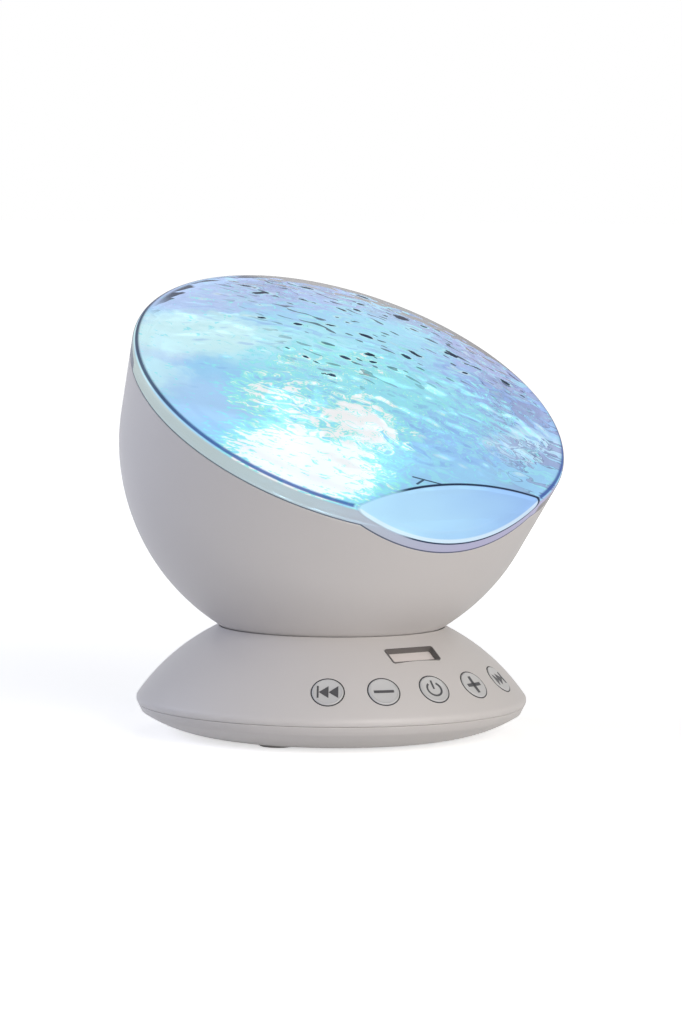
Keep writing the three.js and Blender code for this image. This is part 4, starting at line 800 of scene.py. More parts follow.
stud_profile = [
    (0, -54), (STUD[0], -54), STUD, (STUD_BORE[0], STUD[1]), STUD_BORE, (0, STUD_BORE[1]),
]
for place_turn in (90, 210, 330):
    way = math.radians(place_turn)
    stud = turned("stud", stud_profile, 32)
    moved(stud, Matrix.Translation((STUD_RING * math.cos(way), STUD_RING * math.sin(way), 0)))
    inside = turned("inside", arc((0, 0), HEAD_RADIUS - 0.8, -90, 0, 3) + [(0, 0)], 96)
    worked(stud, [inside], "INTERSECT")
    worked(bowl, [stud], "UNION")
finished(bowl, housing_plastic, "head", HEAD, ["head_bowl"])


# The light on the water: the coloured LEDs throw blue, cyan and white ripples on the clear pieces,
# and here that light is painted on as glow. One pattern in the head's own millimetres gives its
# zones, and each piece adds its own fineness.
ZONE_HEIGHT = 20
ZONE_LEAN = (1.083, 1.417, 0)
WATER = "#a0d6fa"
# A cool zone is a place on the cover, its reach along X and Y, its colour and its strength. A
# bright one has no colour: it is how far the light goes on from there over cyan and mint to white.
COOL_ZONES = (
    ((46, 0), (20, 34), "#95b2ec", 0.9),
    ((50, 14), (12, 26), "#a6aee0", 0.8),
    ((14, 46), (56, 12), "#a6b6ea", 0.85),
    ((-27, 42), (24, 11), "#b4caf6", 0.9),
    ((-52, 22), (12, 14), "#bcc2f0", 0.8),
    ((16, 18), (26, 14), "#9fe2f8", 0.75),
    ((-12, 16), (28, 15), "#b2f1ff", 0.9),
    ((-40, 24), (30, 13), "#d3faff", 0.95),
    ((-60, 6), (12, 12), "#ccf4ff", 0.9),
    ((-50, -8), (15, 14), "#b0d6fb", 0.9),
    ((8, -4), (24, 16), "#9deaf9", 0.85),
    ((16, -29), (20, 14), "#9ac8fa", 0.85),
    ((36, -32), (15, 11), "#ccebff", 0.9),
)
BRIGHT_ZONES = (
    ((-37, -37), (30, 25), 0.9),
    ((-10, -19), (15, 17), 0.86),
    ((-22, -26), (24, 20), 0.62),
    ((-29, -8), (20, 17), 0.6),
    ((-6, 4), (36, 15), 0.4),
    ((18, -18), (30, 20), 0.26),
)


def in_head(tree):
    """Object coordinates, turned and centred on the head, in millimetres."""
    place = node(tree, "TexCoord").outputs["Object"]
    centre = Matrix.Rotation(-HEAD_TILT, 3, "X") @ Vector((0, 0, -PIVOT[1]))
    return node(tree, "Mapping", {"vector_type": "POINT"}, {
        "Vector": place, "Location": centre, "Rotation": (-HEAD_TILT, 0, 0), "Scale": (1 / MM,) * 3,
    }).outputs[0]


def flattened(tree, place):
    """The place on the cover that lies over a place in the head, as seen from the front left."""
    x, y, z = node(tree, "SeparateXYZ", None, [place]).outputs
    depth = node(tree, "Math", "SUBTRACT", [z, ZONE_HEIGHT]).outputs[0]
    return node(tree, "VectorMath", "MULTIPLY_ADD", [
        depth, ZONE_LEAN, node(tree, "CombineXYZ", None, {"X": x, "Y": y}),
    ]).outputs[0]


def how_far(tree, flat, place, reach):
    """How far a place lies from a zone's middle, as a share of the zone's reach."""
    off = node(tree, "VectorMath", "SUBTRACT", [flat, (*place, 0)])
    off = node(tree, "VectorMath", "DIVIDE", [off.outputs[0], (*reach, 1)])
    return node(tree, "VectorMath", "LENGTH", [off.outputs[0]]).outputs["Value"]


def stirred(tree, flat, stir):
    """A flat place moved about by a noise of the given reach."""
    swirl = node(tree, "TexNoise", None, {
        "Vector": flat, "Scale": 0.16, "Detail": 4.0, "Roughness": 0.62,
    }).outputs["Color"]
    shift = node(tree, "VectorMath", "SUBTRACT", [swirl, (0.5, 0.5, 0.5)])
    reach = (stir * 4, stir * 2.4, 0)
    return node(tree, "VectorMath", "MULTIPLY_ADD", [shift, reach, flat]).outputs[0]


def cool_light(tree, flat):
    """The cool zones' colours at a flat place."""
    colour = linear(WATER)
    for place, reach, shade, strength in COOL_ZONES:
        far = how_far(tree, flat, place, reach)
        amount = node(tree, "MapRange", SMOOTH, [far, 0.5, 1.15, strength, 0.0])
        colour = node(tree, "Mix", COLOURS, {0: amount, 6: colour, 7: linear(shade)}).outputs[2]
    return colour


def brightness(tree, flat):
    """How bright the light is at a flat place, from 0 in the cool zones to 1 in the white one."""
    bright = 0.0
    for place, reach, strength in BRIGHT_ZONES:
        far = how_far(tree, flat, place, reach)
        here = node(tree, "MapRange", SMOOTH, [far, 0.35, 1.2, strength, 0.0])
        bright = node(tree, "Math", "SMOOTH_MAX", [bright, here, 0.1]).outputs[0]
    return bright


def water_light(tree, place, stir=5.0):
    """The light as one soft colour, for the pieces that lie under the cover."""
    flat = stirred(tree, flattened(tree, place), stir)
    white = node(tree, "MapRange", SMOOTH, [brightness(tree, flat), 0.35, 0.85])
    return node(tree, "Mix", COLOURS, {
        0: white, 6: cool_light(tree, flat), 7: linear(WHITE),
    }).outputs[2]


def stretched_noise(tree, place, scale, detail=2.0, seed=0.0, rough=0.5):
    """A noise of the surface, with a reach in millimetres along X and Y."""
    laid = node(tree, "VectorMath", "MULTIPLY", [place, (1 / scale[0], 1 / scale[1], 0.05)])
    return node(tree, "TexNoise", {"noise_dimensions": "4D"}, {
        "Vector": laid, "W": seed, "Scale": 1.0, "Detail": detail, "Roughness": rough,
    }).outputs["Fac"]


# The reflector: a moulded dish with a bright chromed-white face, which takes the LEDs' light. Its
# glow is that light painted on it, soft and stirred.
DISH_LIGHT = 0.6
DISH_DIM = 0.2
# The dish's face in the LEDs' light: smooth, with a painted dark shade where it is unlit, and soft
# patches of painted blue glow.
reflector_finish, tree = blank_material("bright_dish_in_blue_light")
place = in_head(tree)
wash = water_light(tree, place, 7.0)
patches = stretched_noise(tree, place, (9.0, 7.0), 2.0, 4.0, 0.6)
patches = node(tree, "MapRange", SMOOTH, [patches, 0.42, 0.58, DISH_DIM, 1.0])
power = node(tree, "Math", "MULTIPLY", [patches, DISH_LIGHT])
body = node(tree, "BsdfPrincipled", None, {
    "Base Color": linear("#28344a"), "Roughness": 0.35, "Emission Color": wash,
    "Emission Strength": power,
})
node(tree, "OutputMaterial", None, {"Surface": body.outputs[0]})
REFLECTOR_FOOT = (23.4, -10.2)
REFLECTOR_MOUTH = (51.5, 1.7)
REFLECTOR_WALL = 1.2
SAG_RADIUS = 62
apart = math.dist(REFLECTOR_FOOT, REFLECTOR_MOUTH)
middle = [(a + b) / 2 for a, b in zip(REFLECTOR_FOOT, REFLECTOR_MOUTH)]
tall = math.sqrt(SAG_RADIUS ** 2 - (apart / 2) ** 2)
along = [(b - a) / apart for a, b in zip(REFLECTOR_FOOT, REFLECTOR_MOUTH)]
sag_centre = (middle[0] - along[1] * tall, middle[1] + along[0] * tall)
foot_angle, mouth_angle = (angle_of(sag_centre, p) for p in (REFLECTOR_FOOT, REFLECTOR_MOUTH))
under = arc(sag_centre, SAG_RADIUS, foot_angle, mouth_angle)
flange = wall_radius(REFLECTOR_MOUTH[1], BOWL_WALL + 0.3)
flange_top = REFLECTOR_MOUTH[1] + REFLECTOR_WALL
above = [(r, z + REFLECTOR_WALL) for r, z in under[::-1]]
reflector = turned(
    "reflector_dish", under + [(flange, REFLECTOR_MOUTH[1]), (flange, flange_top)] + above,
)
finished(reflector, reflector_finish, "head", HEAD, ["reflector_cup"])

# The rippled disc: clear acrylic with rings that swing in and out, moulded in one piece and turned
# by the motor. It bends the LEDs' light into moving ripples.
# Clear acrylic: glassy, with a faint painted glow of the LEDs' light in it.
disc_finish, tree = blank_material("clear_rippled_acrylic_disc")
place = in_head(tree)
body = node(tree, "BsdfPrincipled", None, {
    "Base Color": linear("#e6f5ff"), "Roughness": 0.06, "IOR": 1.49, "Transmission Weight": 1.0,
    "Emission Color": water_light(tree, place, 6.0), "Emission Strength": 0.06,
})
node(tree, "OutputMaterial", None, {"Surface": body.outputs[0]})
DISC_RADIUS = 46
DISC_LOW = 6
DISC_THICK = 2.2
SHAFT_RADIUS = 1.8
FACE_RINGS = 50
HUB_RADIUS = 6
WAVE_HEIGHT = 0.55
WAVE_LENGTH = 13
WAVE_TURNS = 6
WAVE_SWING = 1.1


def disc_tree():
    """Geometry nodes that raise the disc's upper face in swinging rings."""
    group, given = new_group(
        "swinging_rings", Float=["Height", "Length", "Turns", "Swing", "Inner", "Outer", "Foot"],
        Material=["Finish"],
    )
    x, y, z = node(group, "SeparateXYZ", None, [node(group, "GeometryNodeInputPosition")]).outputs
    squares = [node(group, "Math", "MULTIPLY", [way, way]) for way in (x, y)]
    radius = node(group, "Math", "SQRT", [node(group, "Math", "ADD", squares)])
    share = node(group, "MapRange", None, [radius, given["Inner"], given["Outer"]]).outputs[0]
    fade = node(group, "Math", "SINE", [node(group, "Math", "MULTIPLY", [share, math.pi])])
    around = node(group, "Math", "ARCTAN2", [y, x])
    beat = node(group, "Math", "SINE", [node(group, "Math", "MULTIPLY", [around, given["Turns"]])])
    swing = node(group, "Math", "MULTIPLY", [given["Swing"], beat])
    outward = node(group, "Math", "MULTIPLY", [radius, FULL_TURN])
    waves = node(group, "Math", "DIVIDE", [outward, given["Length"]])
    phase = node(group, "Math", "ADD", [waves, swing])
    height = node(group, "Math", "MULTIPLY", [given["Height"], fade])
    lift = node(group, "Math", "MULTIPLY", [height, node(group, "Math", "SINE", [phase])])
    just_above = node(group, "Math", "ADD", [given["Foot"], 0.01])
    above = node(group, "Math", "GREATER_THAN", [z, just_above])
    lift = node(group, "Math", "MULTIPLY", [lift, above])
    waved = node(group, "GeometryNodeSetPosition", None, {
        "Geometry": given["Geometry"], "Offset": node(group, "CombineXYZ", None, {"Z": lift}),
    })
    return completed(group, waved, given["Finish"])


disc_top = DISC_LOW + DISC_THICK
disc_profile = [(SHAFT_RADIUS, DISC_LOW), (DISC_RADIUS, DISC_LOW)]
disc_profile += [
    (DISC_RADIUS - (DISC_RADIUS - SHAFT_RADIUS) * i / FACE_RINGS, disc_top)
    for i in range(FACE_RINGS + 1)
]
disc = turned("rippled_disc", disc_profile, 180)
grown(
    "rippled_disc", disc_tree(),
    {
        "Height": WAVE_HEIGHT, "Length": float(WAVE_LENGTH), "Turns": float(WAVE_TURNS),
        "Swing": WAVE_SWING, "Inner": float(HUB_RADIUS), "Outer": float(DISC_RADIUS),
        "Foot": float(DISC_LOW), "Finish": disc_finish,
    },
    disc,
)
finished(disc, disc_finish, "ripple_wheel", HEAD, ["ripple_disc"])


# The cover: one thick moulding of clear acrylic, with ripples pressed into its crown inside and
# out, a smooth scooped facet at the front and an upright collar whose lip drops inside the bowl.
COVER_RISE = 10.2
SHOULDER = 2
COVER_WALL = 2
LIP_INSET = BOWL_WALL + 0.3
LIP_WALL = 1.2
LIP_DROP = 3
LIP_RISE = 1.4  # how far the lip and its foot ring reach above the joint
JOINT_GAP = 0.1
CROWN_RINGS = 92
crown_reach = wall_radius(COVER_RIM, SHOULDER / 2)
CROWN_RADIUS = (crown_reach ** 2 + COVER_RISE ** 2) / (2 * COVER_RISE)
CROWN_CENTRE = COVER_RIM + COVER_RISE - CROWN_RADIUS


def corner_point(inset):
    """The point that lies the same inset inside the flared wall and inside the crown."""
    radius = CROWN_RADIUS - inset
    slope = math.tan(FLARE)
    start = wall_radius(CROWN_CENTRE, inset)
    a = 1 + slope ** 2
    height = (-slope * start + math.sqrt(radius ** 2 * a - start ** 2)) / a
    return start + slope * height, CROWN_CENTRE + height


def crowned(name, inset, bottom, rings=CROWN_RINGS):
    """The cover's filled form taken in by an inset, its crown a web of even triangles."""
    shoulder = max(SHOULDER - inset, 0)
    corner = corner_point(max(SHOULDER, inset))
    crown_angle = angle_of((0, CROWN_CENTRE), corner)
    edge = arc(corner, shoulder, -8, crown_angle, 10)[:-1] if shoulder else []
    radius = CROWN_RADIUS - inset
    reach = radius * math.cos(math.radians(crown_angle))
    form = bmesh.new()
    web = [[form.verts.new((0, 0, CROWN_CENTRE + radius))]]
    for k in range(1, rings + 1):
        r = reach * k / rings
        z = CROWN_CENTRE + math.sqrt(radius ** 2 - r ** 2)
        web.append([form.verts.new((x, y, z)) for x, y in circle(r, 6 * k)])
    for k in range(rings):
        inner, outer = web[k], web[k + 1]
        for sector in range(6):
            for j in range(k + 1):
                a = inner[(sector * k + j) % len(inner)]
                b = outer[(sector * (k + 1) + j) % len(outer)]
                c = outer[(sector * (k + 1) + j + 1) % len(outer)]
                form.faces.new((a, b, c))
                if j < k:
                    form.faces.new((a, c, inner[(sector * k + j + 1) % len(inner)]))
    last = web[-1]
    steps = len(last)
    for r, z in edge[::-1] + [(wall_radius(h, inset), h) for h in (14, 9, 2, bottom)]:
        ring = [form.verts.new((x, y, z)) for x, y in circle(r, steps)]
        for i in range(steps):
            form.faces.new((last[i], ring[i], ring[(i + 1) % steps], last[(i + 1) % steps]))
        last = ring
    form.faces.new(last[::-1])
    return piece_from(name, form)


def ripple_tree():
    """Geometry nodes that press ripples into the crown: two noises, drawn out along one way, calmer
    on the left, and faded at the rim and the facet."""
    group, given = new_group(
        "pressed_ripples",
        Float=["Depth", "Length", "Fine Depth", "Fine Length", "Seed", "Rim", "Fade", "Lowest",
               "Turn", "Calm Side", "Rough Side", "Calm"],
        Vector=["Crown Centre", "Facet Place", "Facet Normal", "Stretch"], Material=["Finish"],
    )
    here = node(group, "GeometryNodeInputPosition").outputs[0]
    x, y, z = node(group, "SeparateXYZ", None, [here]).outputs
    drawn = node(group, "VectorRotate", {"rotation_type": "Z_AXIS"}, {
        "Vector": here, "Angle": given["Turn"],
    }).outputs[0]
    drawn = node(group, "VectorMath", "MULTIPLY", [drawn, given["Stretch"]]).outputs[0]

    def swell(length, seed):
        return node(group, "TexNoise", {"noise_dimensions": "4D"}, {
            "Vector": drawn, "W": seed, "Scale": node(group, "Math", "DIVIDE", [1.0, length]),
            "Detail": 1.0, "Roughness": 0.4,
        }).outputs["Fac"]

    fine_seed = node(group, "Math", "ADD", [given["Seed"], 7.0])
    broad = node(group, "Math", "MULTIPLY", [swell(given["Length"], given["Seed"]), given["Depth"]])
    fine = swell(given["Fine Length"], fine_seed)
    fine = node(group, "Math", "MULTIPLY", [fine, given["Fine Depth"]])
    depths = node(group, "Math", "ADD", [given["Depth"], given["Fine Depth"]])
    mean = node(group, "Math", "MULTIPLY", [depths, 0.5])
    swells = node(group, "Math", "ADD", [broad, fine])
    swells = node(group, "Math", "SUBTRACT", [swells, mean])
    flat = node(group, "VectorMath", "MULTIPLY", [here, (1, 1, 0)])
    from_axis = node(group, "VectorMath", "LENGTH", [flat]).outputs["Value"]
    from_rim = node(group, "Math", "SUBTRACT", [given["Rim"], from_axis])
    off = node(group, "VectorMath", "SUBTRACT", [here, given["Facet Place"]])
    ahead = node(group, "VectorMath", "DOT_PRODUCT", [off, given["Facet Normal"]]).outputs["Value"]
    behind = node(group, "Math", "MULTIPLY", [ahead, -1.0])
    near = node(group, "Math", "MULTIPLY", [
        node(group, "MapRange", SMOOTH, [away, 0.0, given["Fade"]]) for away in (from_rim, behind)
    ])
    wide = node(group, "Math", "MULTIPLY", [
        node(group, "MapRange", SMOOTH, [from_rim, 0.0, 24.0]),
        node(group, "MapRange", SMOOTH, [behind, 0.0, 20.0]),
    ])
    sunk = node(group, "Math", "MULTIPLY", [depths, 0.25])
    sunk = node(group, "Math", "MULTIPLY", [sunk, wide])
    rough = node(group, "MapRange", SMOOTH, [
        x, given["Calm Side"], given["Rough Side"], given["Calm"],
    ])
    stir = node(group, "Math", "MULTIPLY", [near, rough])
    amount = node(group, "Math", "MULTIPLY", [swells, stir])
    amount = node(group, "Math", "ADD", [amount, sunk])
    upper = node(group, "Math", "GREATER_THAN", [z, given["Lowest"]])
    amount = node(group, "Math", "MULTIPLY", [amount, upper])
    inward = node(group, "VectorMath", "SUBTRACT", [given["Crown Centre"], here])
    inward = node(group, "VectorMath", "NORMALIZE", [inward])
    pressed = node(group, "GeometryNodeSetPosition", None, {
        "Geometry": given["Geometry"],
        "Offset": node(group, "VectorMath", "SCALE", {0: inward, "Scale": amount}),
    })
    return completed(group, pressed, given["Finish"])


# The acrylic's finish: clear, with the LEDs' light painted in its ripples as glow. A ripple bends
# the view, so the zones of light are looked up off to one side by its slope. It has painted glints
# where it leans to the viewer and painted shade where it leans away, a few steep ones are painted
# dark, and a painted navy line at the rim stands for an inner edge seen through it.
FACET_NORMAL = Vector((0, -math.sin(FACET_TILT), math.cos(FACET_TILT)))
FACET_PLACE = Vector((0, -FACET_CHORD, COVER_RIM))
# NAVY colours the painted rim line. DASH colours the painted dark of steep ripples, the crease's
# painted shade, the joint and the gate mark. EDGE_SHADES colour the painted shade of the rim seen
# edge on.
NAVY = ("#3557a4", "#1c2750")
DASH = "#1d2d49"
EDGE_SHADES = ("#2b3a60", "#625a58")
EDGE_FACING = (0.8, 0.822)
GLOW_SHARE = 0.7
GLOW = 1.18
BEND = (16, 50)  # millimetres of sideways look-up for a slope of one, on the left and elsewhere
AWAY = (0.56, 0.83, 0)  # the way that leads from the viewer
STREAK_TURN = math.radians(34)  # turns the ripples' long way onto X
DASH_TURN = STREAK_TURN + math.radians(12)
SMOOTH_POLISH = 0.17  # how much rougher the facet and the collar are than the crown
CROWN_POLISH = 0.03
acrylic, tree = blank_material("clear_acrylic_in_wave_light")
place = in_head(tree)
x, y, z = node(tree, "SeparateXYZ", None, [place]).outputs


def overlap(*ramps):
    """Where all of the ramps hold, each a measure, where it starts and ends, and its values."""
    amount = node(tree, "MapRange", SMOOTH, ramps[0])
    for ramp in ramps[1:]:
        here = node(tree, "MapRange", SMOOTH, ramp)
        amount = node(tree, "Math", "MULTIPLY", [amount, here])
    return amount


def covered(light, layers):
    """A colour with layers laid over it, each with its place, its share and its colour."""
    for amount, share, shade in layers:
        if share < 1:
            amount = node(tree, "Math", "MULTIPLY", [amount, share])
        light = node(tree, "Mix", COLOURS, {0: amount, 6: light, 7: linear(shade)}).outputs[2]
    return light


def from_line(where, start, end):
    """How far a flat place lies from a line between two points."""
    start, end = Vector((*start, 0)), Vector((*end, 0))
    way = end - start
    off = node(tree, "VectorMath", "SUBTRACT", [where, start])
    along = node(tree, "VectorMath", "DOT_PRODUCT", [off, way / way.length_squared])
    along = node(tree, "Clamp", None, [along.outputs["Value"]])
    nearest = node(tree, "VectorMath", "SCALE", {0: way, "Scale": along})
    off = node(tree, "VectorMath", "MULTIPLY", [off, (1, 1, 0)])
    return node(tree, "VectorMath", "DISTANCE", [off, nearest]).outputs["Value"]


# where a point of the cover lies, in the head's millimetres: z is 16.5 at the rim, and ahead tells
# how far it is in front of the facet
flat_place = node(tree, "VectorMath", "MULTIPLY", [place, (1, 1, 0)])
from_axis = node(tree, "VectorMath", "LENGTH", [flat_place]).outputs["Value"]
ahead = node(tree, "VectorMath", "DOT_PRODUCT", [place, FACET_NORMAL]).outputs["Value"]
ahead = node(tree, "Math", "SUBTRACT", [ahead, FACET_PLACE.dot(FACET_NORMAL)])
from_centre = node(tree, "VectorMath", "DISTANCE", [place, (0, 0, CROWN_CENTRE)]).outputs["Value"]
from_wall = node(tree, "Math", "MULTIPLY_ADD", [z, -math.tan(FLARE), from_axis])
at_front_or_side = node(tree, "Math", "MAXIMUM", [
    node(tree, "MapRange", SMOOTH, [ahead, -1.1, -0.9]),
    node(tree, "MapRange", SMOOTH, [from_wall, wall_radius(0, 1.1), wall_radius(0, 0.9)]),
])
at_top = node(tree, "MapRange", SMOOTH, [from_centre, CROWN_RADIUS - 1.8, CROWN_RADIUS - 1.6])
outside = node(tree, "Math", "MAXIMUM", [at_top, at_front_or_side])
on_facet = node(tree, "MapRange", SMOOTH, [ahead, -0.5, -0.1])
in_collar = node(tree, "MapRange", SMOOTH, [z, 15.4, 15.9, 1.0, 0.0])
on_crown = overlap([z, 16.7, 17.2], [ahead, -1.0, -0.6, 1.0, 0.0])

# the ripples' slope, from the surface's normal without the crown's own curve
facing = node(tree, "Mapping", {"vector_type": "VECTOR"}, {
    "Vector": node(tree, "TexCoord").outputs["Normal"], "Rotation": (-HEAD_TILT, 0, 0),
})
facing = node(tree, "VectorMath", "MULTIPLY", [facing, (1, 1, 0)])
slope = node(tree, "VectorMath", "MULTIPLY_ADD", [flat_place, (-1 / CROWN_RADIUS,) * 3, facing])
slope = node(tree, "VectorMath", "SCALE", {0: slope, "Scale": on_crown})
reach = node(tree, "MapRange", SMOOTH, [x, -42.0, -8.0, *BEND])
bend = node(tree, "VectorMath", "SCALE", {0: slope, "Scale": reach})
bent = node(tree, "VectorMath", "ADD", [bend, place])
leaning = node(tree, "VectorMath", "DOT_PRODUCT", [slope, AWAY]).outputs["Value"]
flat = flattened(tree, bent)
streaked = node(tree, "Mapping", {"vector_type": "POINT"}, {
    "Vector": flat, "Rotation": (0, 0, STREAK_TURN),
}).outputs[0]

# painted glints and painted dull shade on the ripples, and patches of painted cyan light
patch_noise = stretched_noise(tree, streaked, (9.0, 3.6), 3.0, 9.0, 0.6)
lit = covered(cool_light(tree, stirred(tree, flat, 4.0)), (
    (overlap([leaning, -0.12, -0.05, 1.0, 0.0]), 0.6, "#e4fbff"),
    (overlap([leaning, 0.03, 0.1]), 0.5, "#7fa9e2"),
    (overlap([patch_noise, 0.53, 0.57], [x, -40.0, 0.0]), 0.5, "#a2f0f6"),
))

# painted grey-lavender wavy bands of light with darker painted edges, along the back and the right
band_noise = stretched_noise(tree, streaked, (20.0, 5.0), 3.0, 14.0, 0.6)
back_or_right = node(tree, "Math", "MAXIMUM", [
    node(tree, "MapRange", SMOOTH, [y, 0.0, 22.0]), node(tree, "MapRange", SMOOTH, [x, 10.0, 34.0]),
])
where = overlap([from_axis, 30.0, 46.0], [x, -24.0, 4.0])
where = node(tree, "Math", "MULTIPLY", [where, back_or_right])
bands = node(tree, "MapRange", SMOOTH, [band_noise, 0.5, 0.52])
bands = node(tree, "Math", "MULTIPLY", [bands, where])
off_edge = node(tree, "Math", "SUBTRACT", [band_noise, 0.515])
off_edge = node(tree, "Math", "ABSOLUTE", [off_edge])
band_edges = node(tree, "MapRange", SMOOTH, [off_edge, 0.004, 0.016, 1.0, 0.0])
band_edges = node(tree, "Math", "MULTIPLY", [band_edges, where])
lit = covered(lit, ((bands, 0.8, "#9aa5d2"), (band_edges, 0.6, "#5f6f9c")))

# the bright zones of painted light break up into fine streaks of cyan, mint and white
fine = stretched_noise(tree, streaked, (3.0, 1.3), 3.0, 2.0, 0.6)
heat = node(tree, "Math", "MULTIPLY_ADD", [fine, 2.2, -1.1])
heat = node(tree, "Math", "ADD", [heat, brightness(tree, stirred(tree, flat, 2.2))])
heat = node(tree, "Math", "MULTIPLY_ADD", [leaning, -1.2, heat])
lit = covered(lit, (
    (overlap([heat, 0.26, 0.34]), 0.85, "#97ecf8"), (overlap([heat, 0.44, 0.52]), 0.9, "#a6f8ee"),
    (overlap([heat, 0.58, 0.72]), 1, WHITE),
))

# the facet and the collar are smooth and glow in their own painted tones of light, and the facet is
# paler along its outer edge, a painted highlight
cloud = stretched_noise(tree, place, (22.0, 9.0), 1.0, 3.0)
facet_blue = node(tree, "Mix", COLOURS, {
    0: node(tree, "Math", "MULTIPLY_ADD", [x, 0.02, cloud]), 6: linear("#b8e6fe"),
    7: linear("#98c0f2"),
}).outputs[2]
collar_tone = node(tree, "Mix", COLOURS, {
    0: overlap([x, -55.0, 10.0]), 6: linear("#b5c3c4"), 7: linear("#b3b0cb"),
}).outputs[2]
for amount, tone in ((in_collar, collar_tone), (on_facet, facet_blue)):
    lit = node(tree, "Mix", COLOURS, {0: amount, 6: lit, 7: tone}).outputs[2]
facet_lip_highlight = overlap([from_wall, wall_radius(0, 0.8), wall_radius(0, 0.5)])
facet_lip_highlight = node(tree, "Math", "MULTIPLY", [on_facet, facet_lip_highlight])
lit = covered(lit, ((facet_lip_highlight, 0.6, "#eefcff"),))

# painted dark dashes, most of them at the back and on the right, standing for the dark seen through
# the ripples: steep ripples, short dashes along the ripples and long strokes along the back
sparse = overlap([y, -24.0, 4.0], [x, -40.0, -10.0])
limit = node(tree, "Math", "MULTIPLY_ADD", [sparse, 0.11, -0.217])
steep = node(tree, "Math", "SUBTRACT", [limit, leaning])
dashes = node(tree, "MapRange", SMOOTH, [steep, 0.0, 0.01])
along_ripples = node(tree, "Mapping", {"vector_type": "POINT"}, {
    "Vector": place, "Rotation": (0, 0, DASH_TURN),
}).outputs[0]
short_noise = stretched_noise(tree, along_ripples, (4.8, 1.6), 0.0, 31.0)
short = node(tree, "MapRange", SMOOTH, [short_noise, 0.685, 0.7])
for amount in (sparse, overlap([x, -34.0, 2.0]), on_crown, 0.85):
    short = node(tree, "Math", "MULTIPLY", [short, amount])
stroke_noise = stretched_noise(tree, place, (16.0, 2.6), 2.0, 21.0)
outward = node(tree, "Math", "MULTIPLY_ADD", [from_axis, 0.08, stroke_noise])
strokes = node(tree, "MapRange", SMOOTH, [outward, 5.02, 5.06])
at_back = overlap([y, 20.0, 40.0], [x, -46.0, -30.0], [x, 24.0, 44.0, 1.0, 0.0])
for amount in (at_back, on_crown):
    strokes = node(tree, "Math", "MULTIPLY", [strokes, amount])

# the painted navy line round the rim, the painted shade of the crease beside the facet, the
# fork-shaped gate mark and the joint
painted_rim_line = overlap([z, 15.9, 16.2], [z, 16.5, 16.8, 1.0, 0.0], [ahead, -0.9, -0.6, 1.0, 0.0])
crease = overlap([ahead, -0.62, -0.45], [ahead, -0.2, -0.1, 1.0, 0.0], [x, -18.0, -12.0, 0.15, 1.0])
over_place = flattened(tree, place)
gate_mark = node(tree, "Math", "MINIMUM", [
    from_line(over_place, (-8.8, -45.4), (-2.0, -49.2)),
    from_line(over_place, (-6.2, -46.8), (-9.4, -48.6)),
])
gate_mark = node(tree, "MapRange", SMOOTH, [gate_mark, 0.22, 0.42, 1.0, 0.0])
gate_mark = node(tree, "Math", "MULTIPLY", [gate_mark, 0.9])
over_joint = node(tree, "Math", "MAXIMUM", [
    node(tree, "Math", "SUBTRACT", [z, BOWL_EDGE + JOINT_GAP]),
    node(tree, "Math", "ADD", [ahead, FACET_EDGE_DEPTH - JOINT_GAP]),
])
seam = overlap([over_joint, 0.22, 0.4, 1.0, 0.0], [over_joint, -0.3, -0.1])
seam = node(tree, "Math", "MULTIPLY", [seam, 0.8])
# the dark marks: painted dashes and the crease's painted shade, with the joint and the gate mark
for mark in (short, strokes):
    dashes = node(tree, "Math", "MAXIMUM", [dashes, mark])
lines = node(tree, "Math", "MAXIMUM", [seam, gate_mark])
dark = node(tree, "Math", "MAXIMUM", [node(tree, "Math", "MAXIMUM", [dashes, crease]), lines])

# the clear acrylic, the painted light glowing in it, and a painted shade on the rim seen edge on
navy = node(tree, "Mix", COLOURS, {
    0: overlap([y, -34.0, 4.0]), 6: linear(NAVY[0]), 7: linear(NAVY[1]),
}).outputs[2]
lined = node(tree, "Math", "MULTIPLY", [painted_rim_line, 0.92])
emitted = node(tree, "Mix", COLOURS, {0: lined, 6: lit, 7: navy}).outputs[2]
emitted = covered(emitted, ((dark, 1, DASH),))
# the glass's tint takes the same painted light and dark marks, so the view through it has their
# colours
tint_with_painted_light = covered(lit, ((0.5, 1, "#e8f6ff"), (painted_rim_line, 0.8, "#5470b8"), (dark, 1, DASH)))
smooth_part = node(tree, "Math", "MAXIMUM", [on_facet, in_collar])
polish = node(tree, "Math", "MULTIPLY_ADD", [smooth_part, SMOOTH_POLISH, CROWN_POLISH])
body = node(tree, "BsdfPrincipled", None, {
    "Base Color": tint_with_painted_light, "Roughness": polish, "IOR": 1.49, "Transmission Weight": 1.0,
})
glow = node(tree, "Emission", None, {"Color": emitted, "Strength": GLOW})
share = node(tree, "Math", "MULTIPLY_ADD", [smooth_part, 0.1, GLOW_SHARE])
share = node(tree, "Math", "MULTIPLY", [share, outside])
caught = node(tree, "MixShader", None, [share, body, glow])
edge_shade = node(tree, "Mix", COLOURS, {
    0: overlap([x, -20.0, 20.0]), 6: linear(EDGE_SHADES[0]), 7: linear(EDGE_SHADES[1]),
}).outputs[2]
shade = node(tree, "BsdfPrincipled", None, {
    "Base Color": edge_shade, "Roughness": 0.3, "Specular IOR Level": 0.2,
})
edge_on = node(tree, "LayerWeight", None, {"Blend": 0.5}).outputs["Facing"]
edge_on = overlap([edge_on, *EDGE_FACING], [from_axis, 40.0, 50.0])
edge_on = node(tree, "Math", "MULTIPLY", [edge_on, 0.95])
edged = node(tree, "MixShader", None, [edge_on, caught, shade])
node(tree, "OutputMaterial", None, {"Surface": edged})

